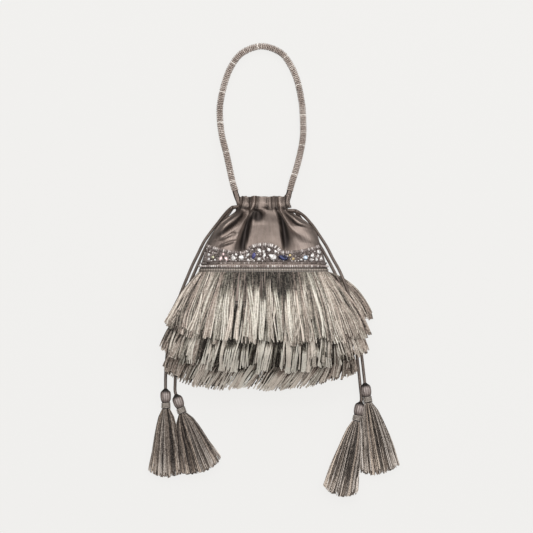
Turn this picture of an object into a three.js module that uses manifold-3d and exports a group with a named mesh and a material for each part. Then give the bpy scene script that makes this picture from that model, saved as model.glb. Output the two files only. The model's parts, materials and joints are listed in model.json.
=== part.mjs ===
// Potli bag: a gathered satin pouch with a jewelled band, three tiers of silk
// fringe, two drawstrings that end in tassels, and a handle of beaded rope.
// The bag lies on its back. +Z is up from the table, +Y runs from the base of
// the pouch to the handle, and +X is to the right as seen from above. The
// origin is on the table, under the middle of the pouch and handle.

import * as THREE from "three";
import { mergeVertices } from "three/addons/utils/BufferGeometryUtils.js";
import Module from "manifold-3d";

// Driving dimensions, in millimetres and degrees
const GAP = 0.3; // between pieces that touch
const SATIN_WALL = 1.0; // satin with its interlining
const LINING_WALL = 0.8;
const LINING_EASE = 0.6; // play between lining and satin
const LINING_DROP = 1.2; // of the lining's edge below the mouth
const CENTRE_X = -2.5; // middle line of the pouch
const SECTION_POWER = 2.4; // 2 is an ellipse, more is boxier
const GATHERS = 10; // soft pleats round the neck

// The pouch from mouth to base: place along the bag, half width, heights of the back and the front
// above the table, and depth of the gathers
const POUCH = {
  mouth: { y: 20.5, half: 29.5, back: 1.2, front: 31, gather: 2.6 },
  casingTop: { y: 13.2, half: 28.0, back: 2.6, front: 30, gather: 1.0 },
  casingBottom: { y: 4.2, half: 28.8, back: 2.6, front: 30, gather: 1.2 },
  shoulder: { y: -8, half: 44, back: 3.0, front: 38, gather: 2.2 },
  yoke: { y: -25, half: 56, back: 4.0, front: 47, gather: 0 },
  band: { y: -53, half: 66, back: 5.2, front: 54, gather: 0 },
  belly: { y: -105, half: 77, back: 8.6, front: 58, gather: 0 },
  heel: { y: -140, half: 74, back: 14, front: 50, gather: 0 },
  base: { y: -157, half: 46, back: 26, front: 33, gather: 0 },
};

const CORD_DIAMETER = 3.2;
const CORD_PITCH = 4.2; // between the two drawstrings in the casing
const CASING_EASE = 1.2; // play of a cord in the casing, at either side
const FACING_STEP = 1.4; // length over which the facing steps in below the cords
const LOOP_OPENING = 30; // of the loop in the casing, to either side of the slot
const SLOT = { length: 16, depth: 15.5 }; // through the satin at each side of the casing

const BAND_THICKNESS = 0.9;
const BAND_FOOT_Y = -47.6;
const BAND_EDGE_ANGLE = 14; // left bare at each side of the front
const SCALLOP = { low: -37.5, archHalf: 17, archRise: 8.5, wingStart: 26, wingEnd: 60, wingRise: 7 };
const WING_CURVE = 1.6; // power by which a wing of the scallop rises
const SCALLOP_BEAD = 1.5;
const BEAD_ROWS = { upper: { y: -49.0, diameter: 1.7 }, lower: { y: -52.2, diameter: 2.7 } };
const BEAD_ROW_EDGE_ANGLE = 8;

const TAPE = { height: 3.2, thickness: 0.9 }; // header of each fringe
const FRONT_SIDE_ANGLE = 9; // left bare by the fringe at each side of the front
const BACK_SIDE_ANGLE = 18;
const STRAND_ROOT = 1.5; // thickness of a fringe under its tape
const STRAND_SWELL = { front: 2.4, back: 1.2 }; // added towards the hem
const TUFT_EDGE = { front: 0.6, back: 0.7 }; // thickness between two tufts, as a share of a tuft's
const FAN_CURVE = 1.3; // power by which the strands fan out towards the sides
const HEM_STAGGER = 2.2; // between neighbouring tufts
const BACK_LAYER = 3.2; // rise from one back fringe to the next
const BACK_SETTLE = 0.85; // share of that rise lost at the hem
const BACK_DROP = 0.33; // share of the reach over which a back strand comes down to the table
const BACK_TAIL = 0.62; // share of the reach past which it drops off the fringe below it

// Each fringe: top of its tape, reach of its strands at the middle and at either side, fan of the
// strands at either side, and lift of the hem off the fringe below
const FRINGES = {
  upper: {
    y: -55.4,
    front: { middle: 76, left: 62, right: 74, fanLeft: 37, fanRight: 31, lift: 9.5 },
    back: { middle: 68, left: 56, right: 66, fanLeft: 25, fanRight: 47, layer: 0 },
  },
  middle: {
    y: -90,
    front: { middle: 69, left: 57, right: 61, fanLeft: 37, fanRight: 31, lift: 8.5 },
    back: { middle: 60, left: 52, right: 52, fanLeft: 14, fanRight: 14, layer: 1 },
  },
  lower: {
    y: -122,
    front: { middle: 56, left: 47, right: 44, fanLeft: 43, fanRight: 30, lift: 3 },
    back: { middle: 50, left: 42, right: 42, fanLeft: 8, fanRight: 8, layer: 2 },
  },
};

// The bed of the front strands slopes down past the sides and the base of the pouch: place along the
// bag, half width, height at its edge and height at its middle
const BED = [
  { y: POUCH.band.y, half: POUCH.band.half + 1.5, edge: 30, top: POUCH.band.front },
  { y: POUCH.belly.y, half: POUCH.belly.half + 30, edge: 21, top: POUCH.belly.front },
  { y: POUCH.heel.y, half: POUCH.heel.half + 42, edge: 14, top: POUCH.heel.front },
  { y: POUCH.base.y, half: POUCH.heel.half + 44, edge: 10, top: POUCH.base.front + 3.5 },
  { y: POUCH.base.y - 30, half: POUCH.heel.half + 46, edge: 6, top: 12 },
];
const BED_CURVE = { reach: 2.2, height: 0.6 }; // powers of its domed section

const ROPE = { core: 2.0, play: 0.3, beads: 1.2 }; // radius of the core, gap round it, wall of beads
const TAB = { width: 5.0, thickness: 3.0, standOff: 1.1, rise: 2 }; // satin end of the handle
const TAB_FOOT = 1; // above the foot of the casing

// Middle line of the handle from its left end over the crown to its right end, with the height of its
// underside over the table
const HANDLE_ROUTE = [
  [-32.4, 27.5, 11.5], [-34.6, 34.1, 10.7], [-38.3, 50.9, 7.9], [-42, 67.7, 4.7], [-46.2, 84.5, 2.1],
  [-48.3, 101.3, 0.7], [-48.2, 118.1, 0.2], [-42.5, 143.3, 0.1], [-35.2, 160.1, 0.1],
  [-24.4, 172.4, 0.1], [-4.6, 179, 0.1], [15.2, 172.4, 0.1], [25.2, 160.1, 0.1], [32.6, 143.3, 0.1],
  [37.8, 118.1, 0.2], [38.9, 101.3, 0.7], [38.9, 84.5, 2.1], [36.2, 67.7, 4.7], [32, 50.9, 7.9],
  [26.8, 34.1, 10.7], [25.2, 27.5, 11.5],
];

// The free stretch of each drawstring end, from the slot in the casing to the top of its tassel
const CORD_ROUTES = {
  leftOuter: [
    [-35.5, 9.6, 18.8], [-40.2, 5.6, 15.6], [-44.8, 0.4, 12.4], [-49.9, -6.2, 10.2], [-55.2, -12.8, 8.2],
    [-60, -19.2, 6.8], [-64.5, -25.6, 5.8], [-68, -32.2, 5.2], [-71.1, -38.6, 5], [-77.2, -51, 5.2],
    [-82.5, -63.4, 5.8], [-87.5, -75.5, 6.2], [-93.5, -92, 6.2], [-98.8, -112, 5.8], [-102.8, -134, 4.8],
    [-104.8, -154, 3.6], [-105.5, -169, 4.2], [-105.5, -181.7, 5.9],
  ],
  leftInner: [
    [-34.8, 9, 13], [-38, 4.4, 10.6], [-42, -0.8, 9], [-47.3, -7.4, 7.6], [-52.4, -14.4, 6.4],
    [-57.2, -21.4, 5.4], [-61.2, -28.2, 4.8], [-64.6, -35, 4.6], [-67.6, -41.6, 4.6], [-72.6, -53, 5],
    [-77.8, -65, 5.8], [-82.6, -77, 6.2], [-88, -93, 6.2], [-92.4, -113, 5.8], [-94.6, -135, 4.8],
    [-95, -155, 3.6], [-95.4, -173, 4.2], [-95.5, -183.4, 5.7], [-94.4, -187.5, 5.9],
  ],
  rightOuter: [
    [31.2, 6, 18.8], [36.4, 3, 15.8], [41.4, -1, 12.8], [46.4, -6.6, 10.8], [51, -12.4, 9.2],
    [55.2, -18.6, 8], [59.4, -24.9, 7.2], [63.4, -31.2, 6.6], [66.8, -37.6, 6.4], [70, -44, 6.4],
    [76.8, -56.2, 7.2], [82.2, -68.8, 8.6], [86.4, -81, 8.2], [90.6, -97, 7.2], [95.8, -115, 6.4],
    [100, -135, 5.4], [102.8, -152, 4.4], [104.9, -166, 4.6], [106, -175.6, 5.9],
  ],
  rightInner: [
    [31, 5, 13], [34, 1.2, 10.8], [37.4, -3.6, 9.4], [42, -9.2, 8], [46.4, -15, 6.8],
    [50.8, -21.4, 6], [55, -28, 5.4], [59, -34.6, 5.2], [62.8, -41.4, 5.4], [66.6, -48.2, 5.8],
    [72.6, -60, 8.2], [78, -71.6, 9.6], [82, -83.4, 8.4], [85.8, -98.6, 7.2], [90.4, -117, 6.4],
    [94, -137, 5.4], [96.2, -157, 4.4], [98.6, -180, 4.6], [99.4, -191.2, 5.8], [98.5, -195.1, 5.9],
  ],
};

// Tassels lie on the table: top of the head, lean of the axis, length of the skirt, half width at the hem
const TASSELS = {
  left_outer: { at: [-105.5, -182], lean: 0, skirt: 66, spread: 16.5 },
  left_inner: { at: [-94.3, -188], lean: 17, skirt: 60, spread: 15.5 },
  right_upper: { at: [106, -176], lean: 9.5, skirt: 70, spread: 20 },
  right_lower: { at: [98.4, -195.6], lean: -14, skirt: 74, spread: 15.5 },
};
const HEAD = { radius: 5.3, length: 13, rest: 0.6 }; // rest: height of its underside over the table
const BINDING = { radius: 4.7, length: 6.6, turns: 3, groove: 0.5 };
const SKIRT = { neckIn: 0.4, hemHalf: 3.1, rest: 0.4, flutes: 8, fluteDepth: 0.12, stagger: 1.6, flare: 0.9 };

// Stones on the band: cut, place, length, width, turn and colour
const STONE_HEIGHT_SHARE = 0.42; // of the stone's width
const CLEAR = "#d9d8d4";
const STONES = {
  clear_round_far_left: ["round", -58.0, -40.4, 3.4, 3.4, 0, CLEAR],
  clear_round_low_left: ["round", -58.0, -45.0, 3.2, 3.2, 0, CLEAR],
  olive_round: ["round", -53.8, -42.9, 3.8, 3.8, 0, "#b5b193"],
  pink_oval: ["oval", -43.2, -39.8, 4.0, 2.8, 90, "#d8b7b4"],
  pink_pear_left: ["pear", -46.0, -44.6, 5.6, 3.6, 245, "#d8b7b4"],
  pink_pear_right: ["pear", -40.4, -44.6, 5.6, 3.6, 295, "#d8b7b4"],
  clear_pear_left: ["pear", -33.1, -43.6, 6.2, 5.0, 110, CLEAR],
  bright_round: ["round", -25.0, -43.4, 6.4, 6.4, 0, CLEAR],
  clear_marquise_left: ["marquise", -18.6, -40.6, 5.6, 2.8, 50, CLEAR],
  indigo_marquise: ["marquise", -12.4, -41.4, 8.2, 4.6, 75, "#3c3c66"],
  clear_round_mid: ["round", -7.2, -44.9, 4.2, 4.2, 0, CLEAR],
  clear_pear_mid: ["pear", -6.6, -36.4, 6.0, 4.0, 300, CLEAR],
  clear_marquise_mid: ["marquise", -1.8, -41.2, 6.2, 3.2, 60, CLEAR],
  clear_round_top: ["round", 2.8, -35.4, 4.2, 4.2, 0, CLEAR],
  clear_large_pear: ["pear", 6.4, -42.6, 9.2, 6.6, 150, CLEAR],
  navy_large_marquise: ["marquise", 17.4, -43.6, 11.6, 6.6, -12, "#20223c"],
  gold_round_top: ["round", 24.2, -41.0, 3.2, 3.2, 0, "#c9b48a"],
  gold_round_right: ["round", 27.6, -44.6, 3.4, 3.4, 0, "#c9b48a"],
  ice_blue_round: ["round", 39.9, -43.4, 5.2, 5.2, 0, "#b9c6d6"],
  clear_pear_right: ["pear", 47.0, -41.0, 5.6, 4.2, 70, CLEAR],
  ringed_round: ["round", 53.2, -37.6, 5.2, 5.2, 0, CLEAR],
  clear_round_low_right: ["round", 55.8, -44.4, 4.0, 4.0, 0, CLEAR],
};

// Counts of facets
const RING_POINTS = GATHERS * 4;
const LINING_POINTS = RING_POINTS / 2;
const CORD = { sides: 8, steps: 72, loopSteps: 18 };
const HANDLE = { sides: 8, coreSides: 6, steps: 28, tabSteps: 9 };
const BEAD_STRING_SIDES = 5;
const BEAD_ROW_STEPS = 22;
const BAND_COLUMNS = 32;
const SCALLOP_STEPS = 40;
const STONE_SIDES = 8;
const SLOT_ARC_STEPS = 5;
const TUFTS = { front: 14, back: 8 };
const STRAND_ROWS = 3;
const TASSEL_SIDES = 8;

const COLOURS = {
  satin: "#8a7d75", lining: "#7b6f68", band: "#8c827d", beads: "#a8a09a", fringe: "#9b9084",
  tape: "#857a70", cord: "#6f645c", tassel: "#857a6e", binding: "#a39a8e", rope: "#8f847c",
};

const radians = THREE.MathUtils.degToRad;
const { clamp, lerp, smoothstep } = THREE.MathUtils;
const toVector = (point) => new THREE.Vector3(...point);

const bag = new THREE.Group();

function addPiece(name, geometry, colour, roughness = 0.55, metalness = 0, parent = bag) {
  const material = new THREE.MeshStandardMaterial({ color: colour, roughness, metalness });
  const mesh = new THREE.Mesh(geometry, material);
  mesh.name = name;
  parent.add(mesh);
  return mesh;
}

// A smooth value along Y through stations that are ordered from high Y to low Y
function along(stations, key, y) {
  const count = stations.length;
  let i = 0;
  while (i < count - 2 && y < stations[i + 1].y) i += 1;
  const slope = (a, b) => (stations[b][key] - stations[a][key]) / (stations[b].y - stations[a].y);
  const tangent = (k) => slope(Math.max(k - 1, 0), Math.min(k + 1, count - 1));
  const [from, to] = [stations[i], stations[i + 1]];
  const span = to.y - from.y;
  const t = clamp((y - from.y) / span, 0, 1);
  const rise = t * t * (3 - 2 * t);
  const start = t * (1 - t) * (1 - t) * span * tangent(i);
  const end = t * t * (t - 1) * span * tangent(i + 1);
  return lerp(from[key], to[key], rise) + start + end;
}

// The satin has a ring at each station, one at the middle of the casing, and one half way between any
// two stations below it. The pouch is straight from one ring to the next
const CASING_Y = (POUCH.casingTop.y + POUCH.casingBottom.y) / 2;
const pouchStations = Object.values(POUCH);
const belowCasing = pouchStations.map((station) => station.y).filter((y) => y <= POUCH.casingBottom.y);
const halved = (levels) => levels.flatMap((y, i) => (i ? [(levels[i - 1] + y) / 2, y] : [y]));
const SATIN_LEVELS = [POUCH.mouth.y, POUCH.casingTop.y, CASING_Y, ...halved(belowCasing)];

function pouchAt(key, y) {
  const below = SATIN_LEVELS.findIndex((level) => level <= y);
  const next = below < 0 ? SATIN_LEVELS.length - 1 : Math.max(below, 1);
  const [high, low] = [SATIN_LEVELS[next - 1], SATIN_LEVELS[next]];
  const share = clamp((y - high) / (low - high), 0, 1);
  return lerp(along(pouchStations, key, high), along(pouchStations, key, low), share);
}

const pouchMiddle =(y) => (pouchAt("back", y) + pouchAt("front", y)) / 2;

// A point on the pouch: angle round the section (0 at the right side, 90 at the front), place along the
// bag and distance inside the outer face
function pouchPoint(angle, y, inset = 0, gathered = false) {
  const [c, s] = [Math.cos(angle), Math.sin(angle)];
  const round = (v) => Math.sign(v) * Math.abs(v) ** (2 / SECTION_POWER);
  const gather = gathered ? Math.max(0, pouchAt("gather", y)) : 0;
  const pleat = (gather * (1 - Math.cos(GATHERS * angle))) / 2;
  const half = pouchAt("half", y) - inset + pleat;
  const depth = (pouchAt("front", y) - pouchAt("back", y)) / 2 - inset + pleat * Math.max(s, 0);
  const place = Math.max(y, POUCH.base.y + inset);
  return new THREE.Vector3(CENTRE_X + half * round(c), place, pouchMiddle(y) + depth * round(s));
}

// Height of the pouch's front over a place on the table, or nothing past its side
function pouchFront(x, y) {
  const reach = Math.abs(x - CENTRE_X) / pouchAt("half", y);
  if (reach >= 1 || y < POUCH.base.y) return 0;
  return lerp(pouchMiddle(y), pouchAt("front", y), (1 - reach ** SECTION_POWER) ** (1 / SECTION_POWER));
}

// Angle of the front point that stands over x
function frontAngle(x, y) {
  const reach = (x - CENTRE_X) / pouchAt("half", y);
  return Math.acos(Math.sign(reach) * Math.abs(reach) ** (SECTION_POWER / 2));
}

function ring(points, y, inset, gathered) {
  const turn = (k) => (2 * Math.PI * k) / points;
  return Array.from({ length: points }, (_, k) => pouchPoint(turn(k), y, inset, gathered));
}

// A closed skin over a row of rings, with a fan over the first and the last
function loft(rings) {
  const size = rings[0].length;
  const centre = (points) => points.reduce((sum, p) => sum.add(p), new THREE.Vector3()).divideScalar(size);
  const points = [...rings.flat(), centre(rings[0]), centre(rings.at(-1))];
  const [firstCentre, lastCentre] = [points.length - 2, points.length - 1];
  const lastRing = (rings.length - 1) * size;
  const index = [];
  for (let k = 0; k < size; k += 1) {
    const next = (k + 1) % size;
    for (let row = 0; row < lastRing; row += size) {
      index.push(row + k, row + size + k, row + size + next, row + k, row + size + next, row + next);
    }
    index.push(firstCentre, k, next, lastCentre, lastRing + next, lastRing + k);
  }
  const geometry = new THREE.BufferGeometry().setFromPoints(points);
  geometry.setIndex(index);
  return geometry;
}

// A closed sheet: u runs from -1 to 1 along X, v from 0 at its top to 1 at its foot, side is 0 or 1
function sheet(columns, rows, place) {
  const box = new THREE.BoxGeometry(2, 1, 1, columns, rows, 1);
  box.deleteAttribute("normal");
  box.deleteAttribute("uv");
  const geometry = mergeVertices(box);
  const position = geometry.attributes.position;
  for (let i = 0; i < position.count; i += 1) {
    const point = place(position.getX(i), 0.5 - position.getY(i), position.getZ(i) + 0.5);
    position.setXYZ(i, point.x, point.y, point.z);
  }
  return geometry;
}

function polygon(radius, sides) {
  const turn = (k) => (2 * Math.PI * k) / sides;
  const corner = (angle) => new THREE.Vector2(radius * Math.cos(angle), radius * Math.sin(angle));
  return Array.from({ length: sides }, (_, k) => corner(turn(k)));
}

function sweep(outline, points, steps, hole) {
  const section = new THREE.Shape(outline);
  if (hole) section.holes.push(new THREE.Path(hole.reverse()));
  const extrudePath = new THREE.CatmullRomCurve3(points, false, "centripetal");
  return new THREE.ExtrudeGeometry(section, { steps, extrudePath, bevelEnabled: false });
}

// Joining and cutting of closed solids
const wasm = await Module();
wasm.setup();

function solidOf(geometry) {
  geometry.deleteAttribute("normal");
  geometry.deleteAttribute("uv");
  const merged = mergeVertices(geometry);
  const vertProperties = new Float32Array(merged.attributes.position.array);
  const triVerts = new Uint32Array(merged.index.array);
  return new wasm.Manifold(new wasm.Mesh({ numProp: 3, vertProperties, triVerts }));
}

function geometryOf(solid) {
  const mesh = solid.getMesh();
  const geometry = new THREE.BufferGeometry();
  geometry.setAttribute("position", new THREE.BufferAttribute(mesh.vertProperties, 3));
  geometry.setIndex(new THREE.BufferAttribute(mesh.triVerts, 1));
  return geometry;
}

// Drawstrings: each runs once round the casing, between satin and lining, and both its ends come out
// of the slot on its own side
const CORD_RADIUS = CORD_DIAMETER / 2;
const CORD_INSET = SATIN_WALL + CASING_EASE + CORD_RADIUS;
const FACING_INSET = SATIN_WALL + CORD_DIAMETER + 2 * CASING_EASE;
const { leftOuter, leftInner, rightOuter, rightInner } = CORD_ROUTES;
const DRAWSTRINGS = {
  left: { y: CASING_Y + CORD_PITCH / 2, slot: 180, over: leftOuter, under: leftInner },
  right: { y: CASING_Y - CORD_PITCH / 2, slot: 0, over: rightOuter, under: rightInner },
};

function drawstring({ y, slot, over, under }) {
  const turn = slot === 0 ? 1 : -1;
  const loop = [];
  for (let k = 0; k <= CORD.loopSteps; k += 1) {
    const angle = lerp(LOOP_OPENING, 360 - LOOP_OPENING, k / CORD.loopSteps);
    loop.push(pouchPoint(radians(slot + turn * angle), y, CORD_INSET));
  }
  const route = [...over.map(toVector).reverse(), ...loop, ...under.map(toVector)];
  return sweep(polygon(CORD_RADIUS, CORD.sides), route, CORD.steps);
}

// Satin body: outer face down from the mouth to the base and back up inside, with a slot for the two
// cord ends at each side of the casing
function cordSlot({ y, slot }) {
  const height = CORD_RADIUS + CASING_EASE;
  const middle = SLOT.depth / 2 - height;
  const outline = new THREE.Shape();
  outline.absarc(middle, 0, height, -Math.PI / 2, Math.PI / 2);
  outline.absarc(-middle, 0, height, Math.PI / 2, Math.PI * 1.5);
  const settings = { depth: SLOT.length, bevelEnabled: false, curveSegments: SLOT_ARC_STEPS };
  const cutter = new THREE.ExtrudeGeometry(outline, settings);
  cutter.translate(0, 0, -SLOT.length / 2);
  cutter.rotateY(Math.PI / 2);
  const mouth = pouchPoint(radians(slot), y);
  return cutter.translate(mouth.x, mouth.y, mouth.z);
}

function satinBody() {
  const outer = SATIN_LEVELS.map((y) => ring(RING_POINTS, y, 0, true));
  const inner = SATIN_LEVELS.map((y) => ring(RING_POINTS, y, SATIN_WALL, false));
  const shell = solidOf(loft([...outer.reverse(), ...inner]));
  const slots = Object.values(DRAWSTRINGS).map((cord) => solidOf(cordSlot(cord)));
  return geometryOf(slots.reduce((solid, slot) => solid.subtract(slot), shell));
}

// Lining: it hangs inside the satin and steps in under the cords as the facing of the casing
const LINING_INSET = SATIN_WALL + LINING_EASE;

function lining() {
  const [top, foot] = [POUCH.casingTop.y, POUCH.casingBottom.y];
  const inset = (y) => (y <= top && y >= foot ? FACING_INSET : LINING_INSET);
  const casing = [top + FACING_STEP, top, CASING_Y, foot, foot - FACING_STEP];
  const levels = [POUCH.mouth.y - LINING_DROP, ...casing, ...SATIN_LEVELS.filter((y) => y < foot)];
  const outer = levels.map((y) => ring(LINING_POINTS, y, inset(y), false));
  const inner = levels.map((y) => ring(LINING_POINTS, y, inset(y) + LINING_WALL, false));
  return loft([...outer.reverse(), ...inner]);
}

// Embroidered band with its scalloped top edge, and the strings of beads along it
function scallop(x) {
  const fromMiddle = Math.abs(x - CENTRE_X);
  const arch = Math.sqrt(Math.max(0, 1 - (fromMiddle / SCALLOP.archHalf) ** 2));
  const wing = Math.max(0, (fromMiddle - SCALLOP.wingStart) / (SCALLOP.wingEnd - SCALLOP.wingStart));
  return SCALLOP.low + SCALLOP.archRise * arch + SCALLOP.wingRise * wing ** WING_CURVE;
}

const frontSeat = (u, edgeAngle) => radians(90 - u * (90 - edgeAngle));
const backSeat = (u, edgeAngle) => radians(270 + u * (90 - edgeAngle));
const scallopAt = (angle) => scallop(pouchPoint(angle, SCALLOP.low).x);
const BAND_INSET = -(GAP + BAND_THICKNESS);

function band() {
  const place = (u, v, side) => {
    const angle = frontSeat(u, BAND_EDGE_ANGLE);
    return pouchPoint(angle, lerp(scallopAt(angle), BAND_FOOT_Y, v), -GAP - side * BAND_THICKNESS);
  };
  return sheet(BAND_COLUMNS, 2, place);
}

// A string of beads over the front or the back, on a face at the given inset, at a place for each angle
function beadString(seat, edgeAngle, diameter, steps, face, placeAt) {
  const inset = face - GAP - diameter / 2;
  const points = [];
  for (let k = 0; k <= steps; k += 1) {
    const angle = seat(lerp(-1, 1, k / steps), edgeAngle);
    points.push(pouchPoint(angle, placeAt(angle), inset));
  }
  return sweep(polygon(diameter / 2, BEAD_STRING_SIDES), points, steps);
}

function scallopLine() {
  const placeAt = (angle) => scallopAt(angle) - SCALLOP_BEAD / 2;
  return beadString(frontSeat, BAND_EDGE_ANGLE, SCALLOP_BEAD, SCALLOP_STEPS, BAND_INSET, placeAt);
}

function beadRow(seat, y, diameter) {
  return beadString(seat, BEAD_ROW_EDGE_ANGLE, diameter, BEAD_ROW_STEPS, 0, () => y);
}

// Stones: faceted, with a flat foot on the band
const CUTS = {
  round: (x, y) => [x, y],
  oval: (x, y) => [x, y],
  marquise: (x, y) => [x, y * (1 - 0.35 * x * x)],
  pear: (x, y) => [x, y * (1 - 0.45 * x)],
};
const STONE_PROFILE = [[0, 0], [0.84, 0], [1, 0.4], [0.62, 1], [0, 1]]; // shares of radius and height

function stone([cut, x, y, length, width, turn]) {
  const profile = STONE_PROFILE.map(([radius, height]) => new THREE.Vector2(radius, height));
  const geometry = new THREE.LatheGeometry(profile, STONE_SIDES);
  geometry.rotateX(Math.PI / 2);
  const position = geometry.attributes.position;
  for (let i = 0; i < position.count; i += 1) {
    const [px, py] = CUTS[cut](position.getX(i), position.getY(i));
    position.setXY(i, px, py);
  }
  geometry.scale(length / 2, width / 2, width * STONE_HEIGHT_SHARE);
  geometry.rotateZ(radians(turn));
  const angle = frontAngle(x, y);
  const seatAt = (turned, place) => pouchPoint(turned, place, BAND_INSET - GAP);
  const nudge = radians(1);
  const across = seatAt(angle - nudge, y).sub(seatAt(angle + nudge, y));
  const upward = seatAt(angle, y + 1).sub(seatAt(angle, y - 1));
  const normal = across.cross(upward).normalize();
  geometry.applyQuaternion(new THREE.Quaternion().setFromUnitVectors(new THREE.Vector3(0, 0, 1), normal));
  const foot = seatAt(angle, y);
  return geometry.translate(foot.x, foot.y, foot.z);
}

function bedHeight(x, y) {
  const reach = Math.min(1, Math.abs(x - CENTRE_X) / along(BED, "half", y));
  const share = (1 - reach ** BED_CURVE.reach) ** BED_CURVE.height;
  return Math.max(lerp(along(BED, "edge", y), along(BED, "top", y), share), pouchFront(x, y));
}

// Plan of a fringe: where the strand at u has come to after the share v of its reach, and whether it is
// the edge between two tufts
function strandPlan(fringe, root, u, v, tufts) {
  const [side, fan] = u < 0 ? [fringe.left, fringe.fanLeft] : [fringe.right, fringe.fanRight];
  const isEdge = Math.round((u + 1) * tufts) % 2 === 0;
  const reach = lerp(fringe.middle, side, u * u) - (isEdge ? HEM_STAGGER : 0);
  const lean = radians(fan) * Math.sign(u) * Math.abs(u) ** FAN_CURVE;
  return { x: root.x + reach * v * Math.sin(lean), y: root.y - reach * v * Math.cos(lean), isEdge };
}

const rootOf = (tapeTop) => tapeTop - TAPE.height - GAP;

// Shares of the reach at which a front fringe has its rows: one stands where the strands bend over the
// highest station of the pouch below their tape
function frontRows(tapeTop, fringe) {
  const below = pouchStations.filter((station) => station.y < rootOf(tapeTop));
  const crest = below.reduce((highest, station) => (station.front > highest.front ? station : highest));
  const bend = (rootOf(tapeTop) - crest.y) / fringe.middle;
  return bend > 0.5 ? [0, bend / 2, bend, 1] : [0, bend, (1 + bend) / 2, 1];
}

function frontFringe(tapeTop, fringe) {
  const rows = frontRows(tapeTop, fringe);
  const place = (u, share, side) => {
    const v = rows[Math.round(share * STRAND_ROWS)];
    const root = pouchPoint(frontSeat(u, FRONT_SIDE_ANGLE), rootOf(tapeTop));
    const { x, y, isEdge } = strandPlan(fringe, root, u, v, TUFTS.front);
    const thickness = (STRAND_ROOT + STRAND_SWELL.front * v) * (isEdge ? TUFT_EDGE.front : 1);
    return new THREE.Vector3(x, y, bedHeight(x, y) + GAP + fringe.lift * v + side * thickness);
  };
  return sheet(2 * TUFTS.front, STRAND_ROWS, place);
}

function backFringe(tapeTop, fringe) {
  const place = (u, v, side) => {
    const root = pouchPoint(backSeat(u, BACK_SIDE_ANGLE), rootOf(tapeTop), -GAP - STRAND_ROOT);
    const { x, y, isEdge } = strandPlan(fringe, root, u, v, TUFTS.back);
    const layer = fringe.layer * BACK_LAYER * (1 - BACK_SETTLE * smoothstep(v, BACK_TAIL, 1));
    const foot = lerp(root.z, layer, smoothstep(v, 0, BACK_DROP));
    const thickness = (STRAND_ROOT + STRAND_SWELL.back * v) * (isEdge ? TUFT_EDGE.back : 1);
    return new THREE.Vector3(x, y, foot + side * thickness);
  };
  return sheet(2 * TUFTS.back, STRAND_ROWS, place);
}

function tape(top, seat, edgeAngle, depthOf) {
  const place = (u, v, side) => {
    const inset = -GAP - depthOf(side) * TAPE.thickness;
    return pouchPoint(seat(u, edgeAngle), top - v * TAPE.height, inset);
  };
  return sheet(((180 - 2 * edgeAngle) * RING_POINTS) / 360, 1, place);
}

// Tassel: head, binding and skirt along an axis that lies on the table
const HEAD_PROFILE = [[0, 1], [0.75, 1], [0.92, 0.77], [1, 0.4], [0.85, 0.12], [0.49, 0], [0, 0]];
const AXIS_HEIGHT = HEAD.radius + HEAD.rest;

function tasselHead() {
  const profile = HEAD_PROFILE.map(([r, h]) => new THREE.Vector2(r * HEAD.radius, -h * HEAD.length));
  return new THREE.LatheGeometry(profile, TASSEL_SIDES);
}

function tasselBinding() {
  const profile = [new THREE.Vector2(0, -BINDING.length)];
  const half = BINDING.length / (2 * BINDING.turns);
  for (let k = 0; k <= 2 * BINDING.turns; k += 1) {
    const radius = BINDING.radius - (k % 2 ? 0 : BINDING.groove);
    profile.push(new THREE.Vector2(radius, k * half - BINDING.length));
  }
  profile.push(new THREE.Vector2(0, 0));
  return new THREE.LatheGeometry(profile, TASSEL_SIDES);
}

const SKIRT_LEVELS = [1, 0.65, 0.3, 0]; // from the hem up to the binding

function tasselSkirt({ skirt, spread }) {
  const points = 2 * SKIRT.flutes;
  const neck = BINDING.radius - SKIRT.neckIn;
  const rings = SKIRT_LEVELS.map((t) => {
    const [half, depth] = [lerp(neck, spread, t ** SKIRT.flare), lerp(neck, SKIRT.hemHalf, t)];
    const sag = t * (SKIRT.hemHalf + SKIRT.rest - AXIS_HEIGHT);
    return Array.from({ length: points }, (_, k) => {
      const angle = (2 * Math.PI * k) / points;
      const flute = k % 2 ? 1 : 1 - SKIRT.fluteDepth * t;
      const hem = k % 2 ? 0 : SKIRT.stagger * t;
      const [x, z] = [half * flute * Math.cos(angle), depth * flute * Math.sin(angle)];
      return new THREE.Vector3(x, hem - skirt * t, z + sag);
    });
  });
  return loft(rings);
}

function addTassel(name, tassel) {
  const group = new THREE.Group();
  group.position.set(tassel.at[0], tassel.at[1], AXIS_HEIGHT);
  group.rotation.z = radians(tassel.lean);
  bag.add(group);
  addPiece(`tassel_${name}_head`, tasselHead(), COLOURS.tassel, 0.5, 0, group);
  const binding = addPiece(`tassel_${name}_binding`, tasselBinding(), COLOURS.binding, 0.45, 0, group);
  const skirt = addPiece(`tassel_${name}_skirt`, tasselSkirt(tassel), COLOURS.tassel, 0.5, 0, group);
  binding.position.y = -HEAD.length - GAP;
  skirt.position.y = binding.position.y - BINDING.length - GAP;
}

// Handle: a rope core in a sleeve of beads, held at each end by a satin tab that goes down into the mouth
const SLEEVE_BORE = ROPE.core + ROPE.play;
const SLEEVE_RADIUS = SLEEVE_BORE + ROPE.beads;

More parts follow.
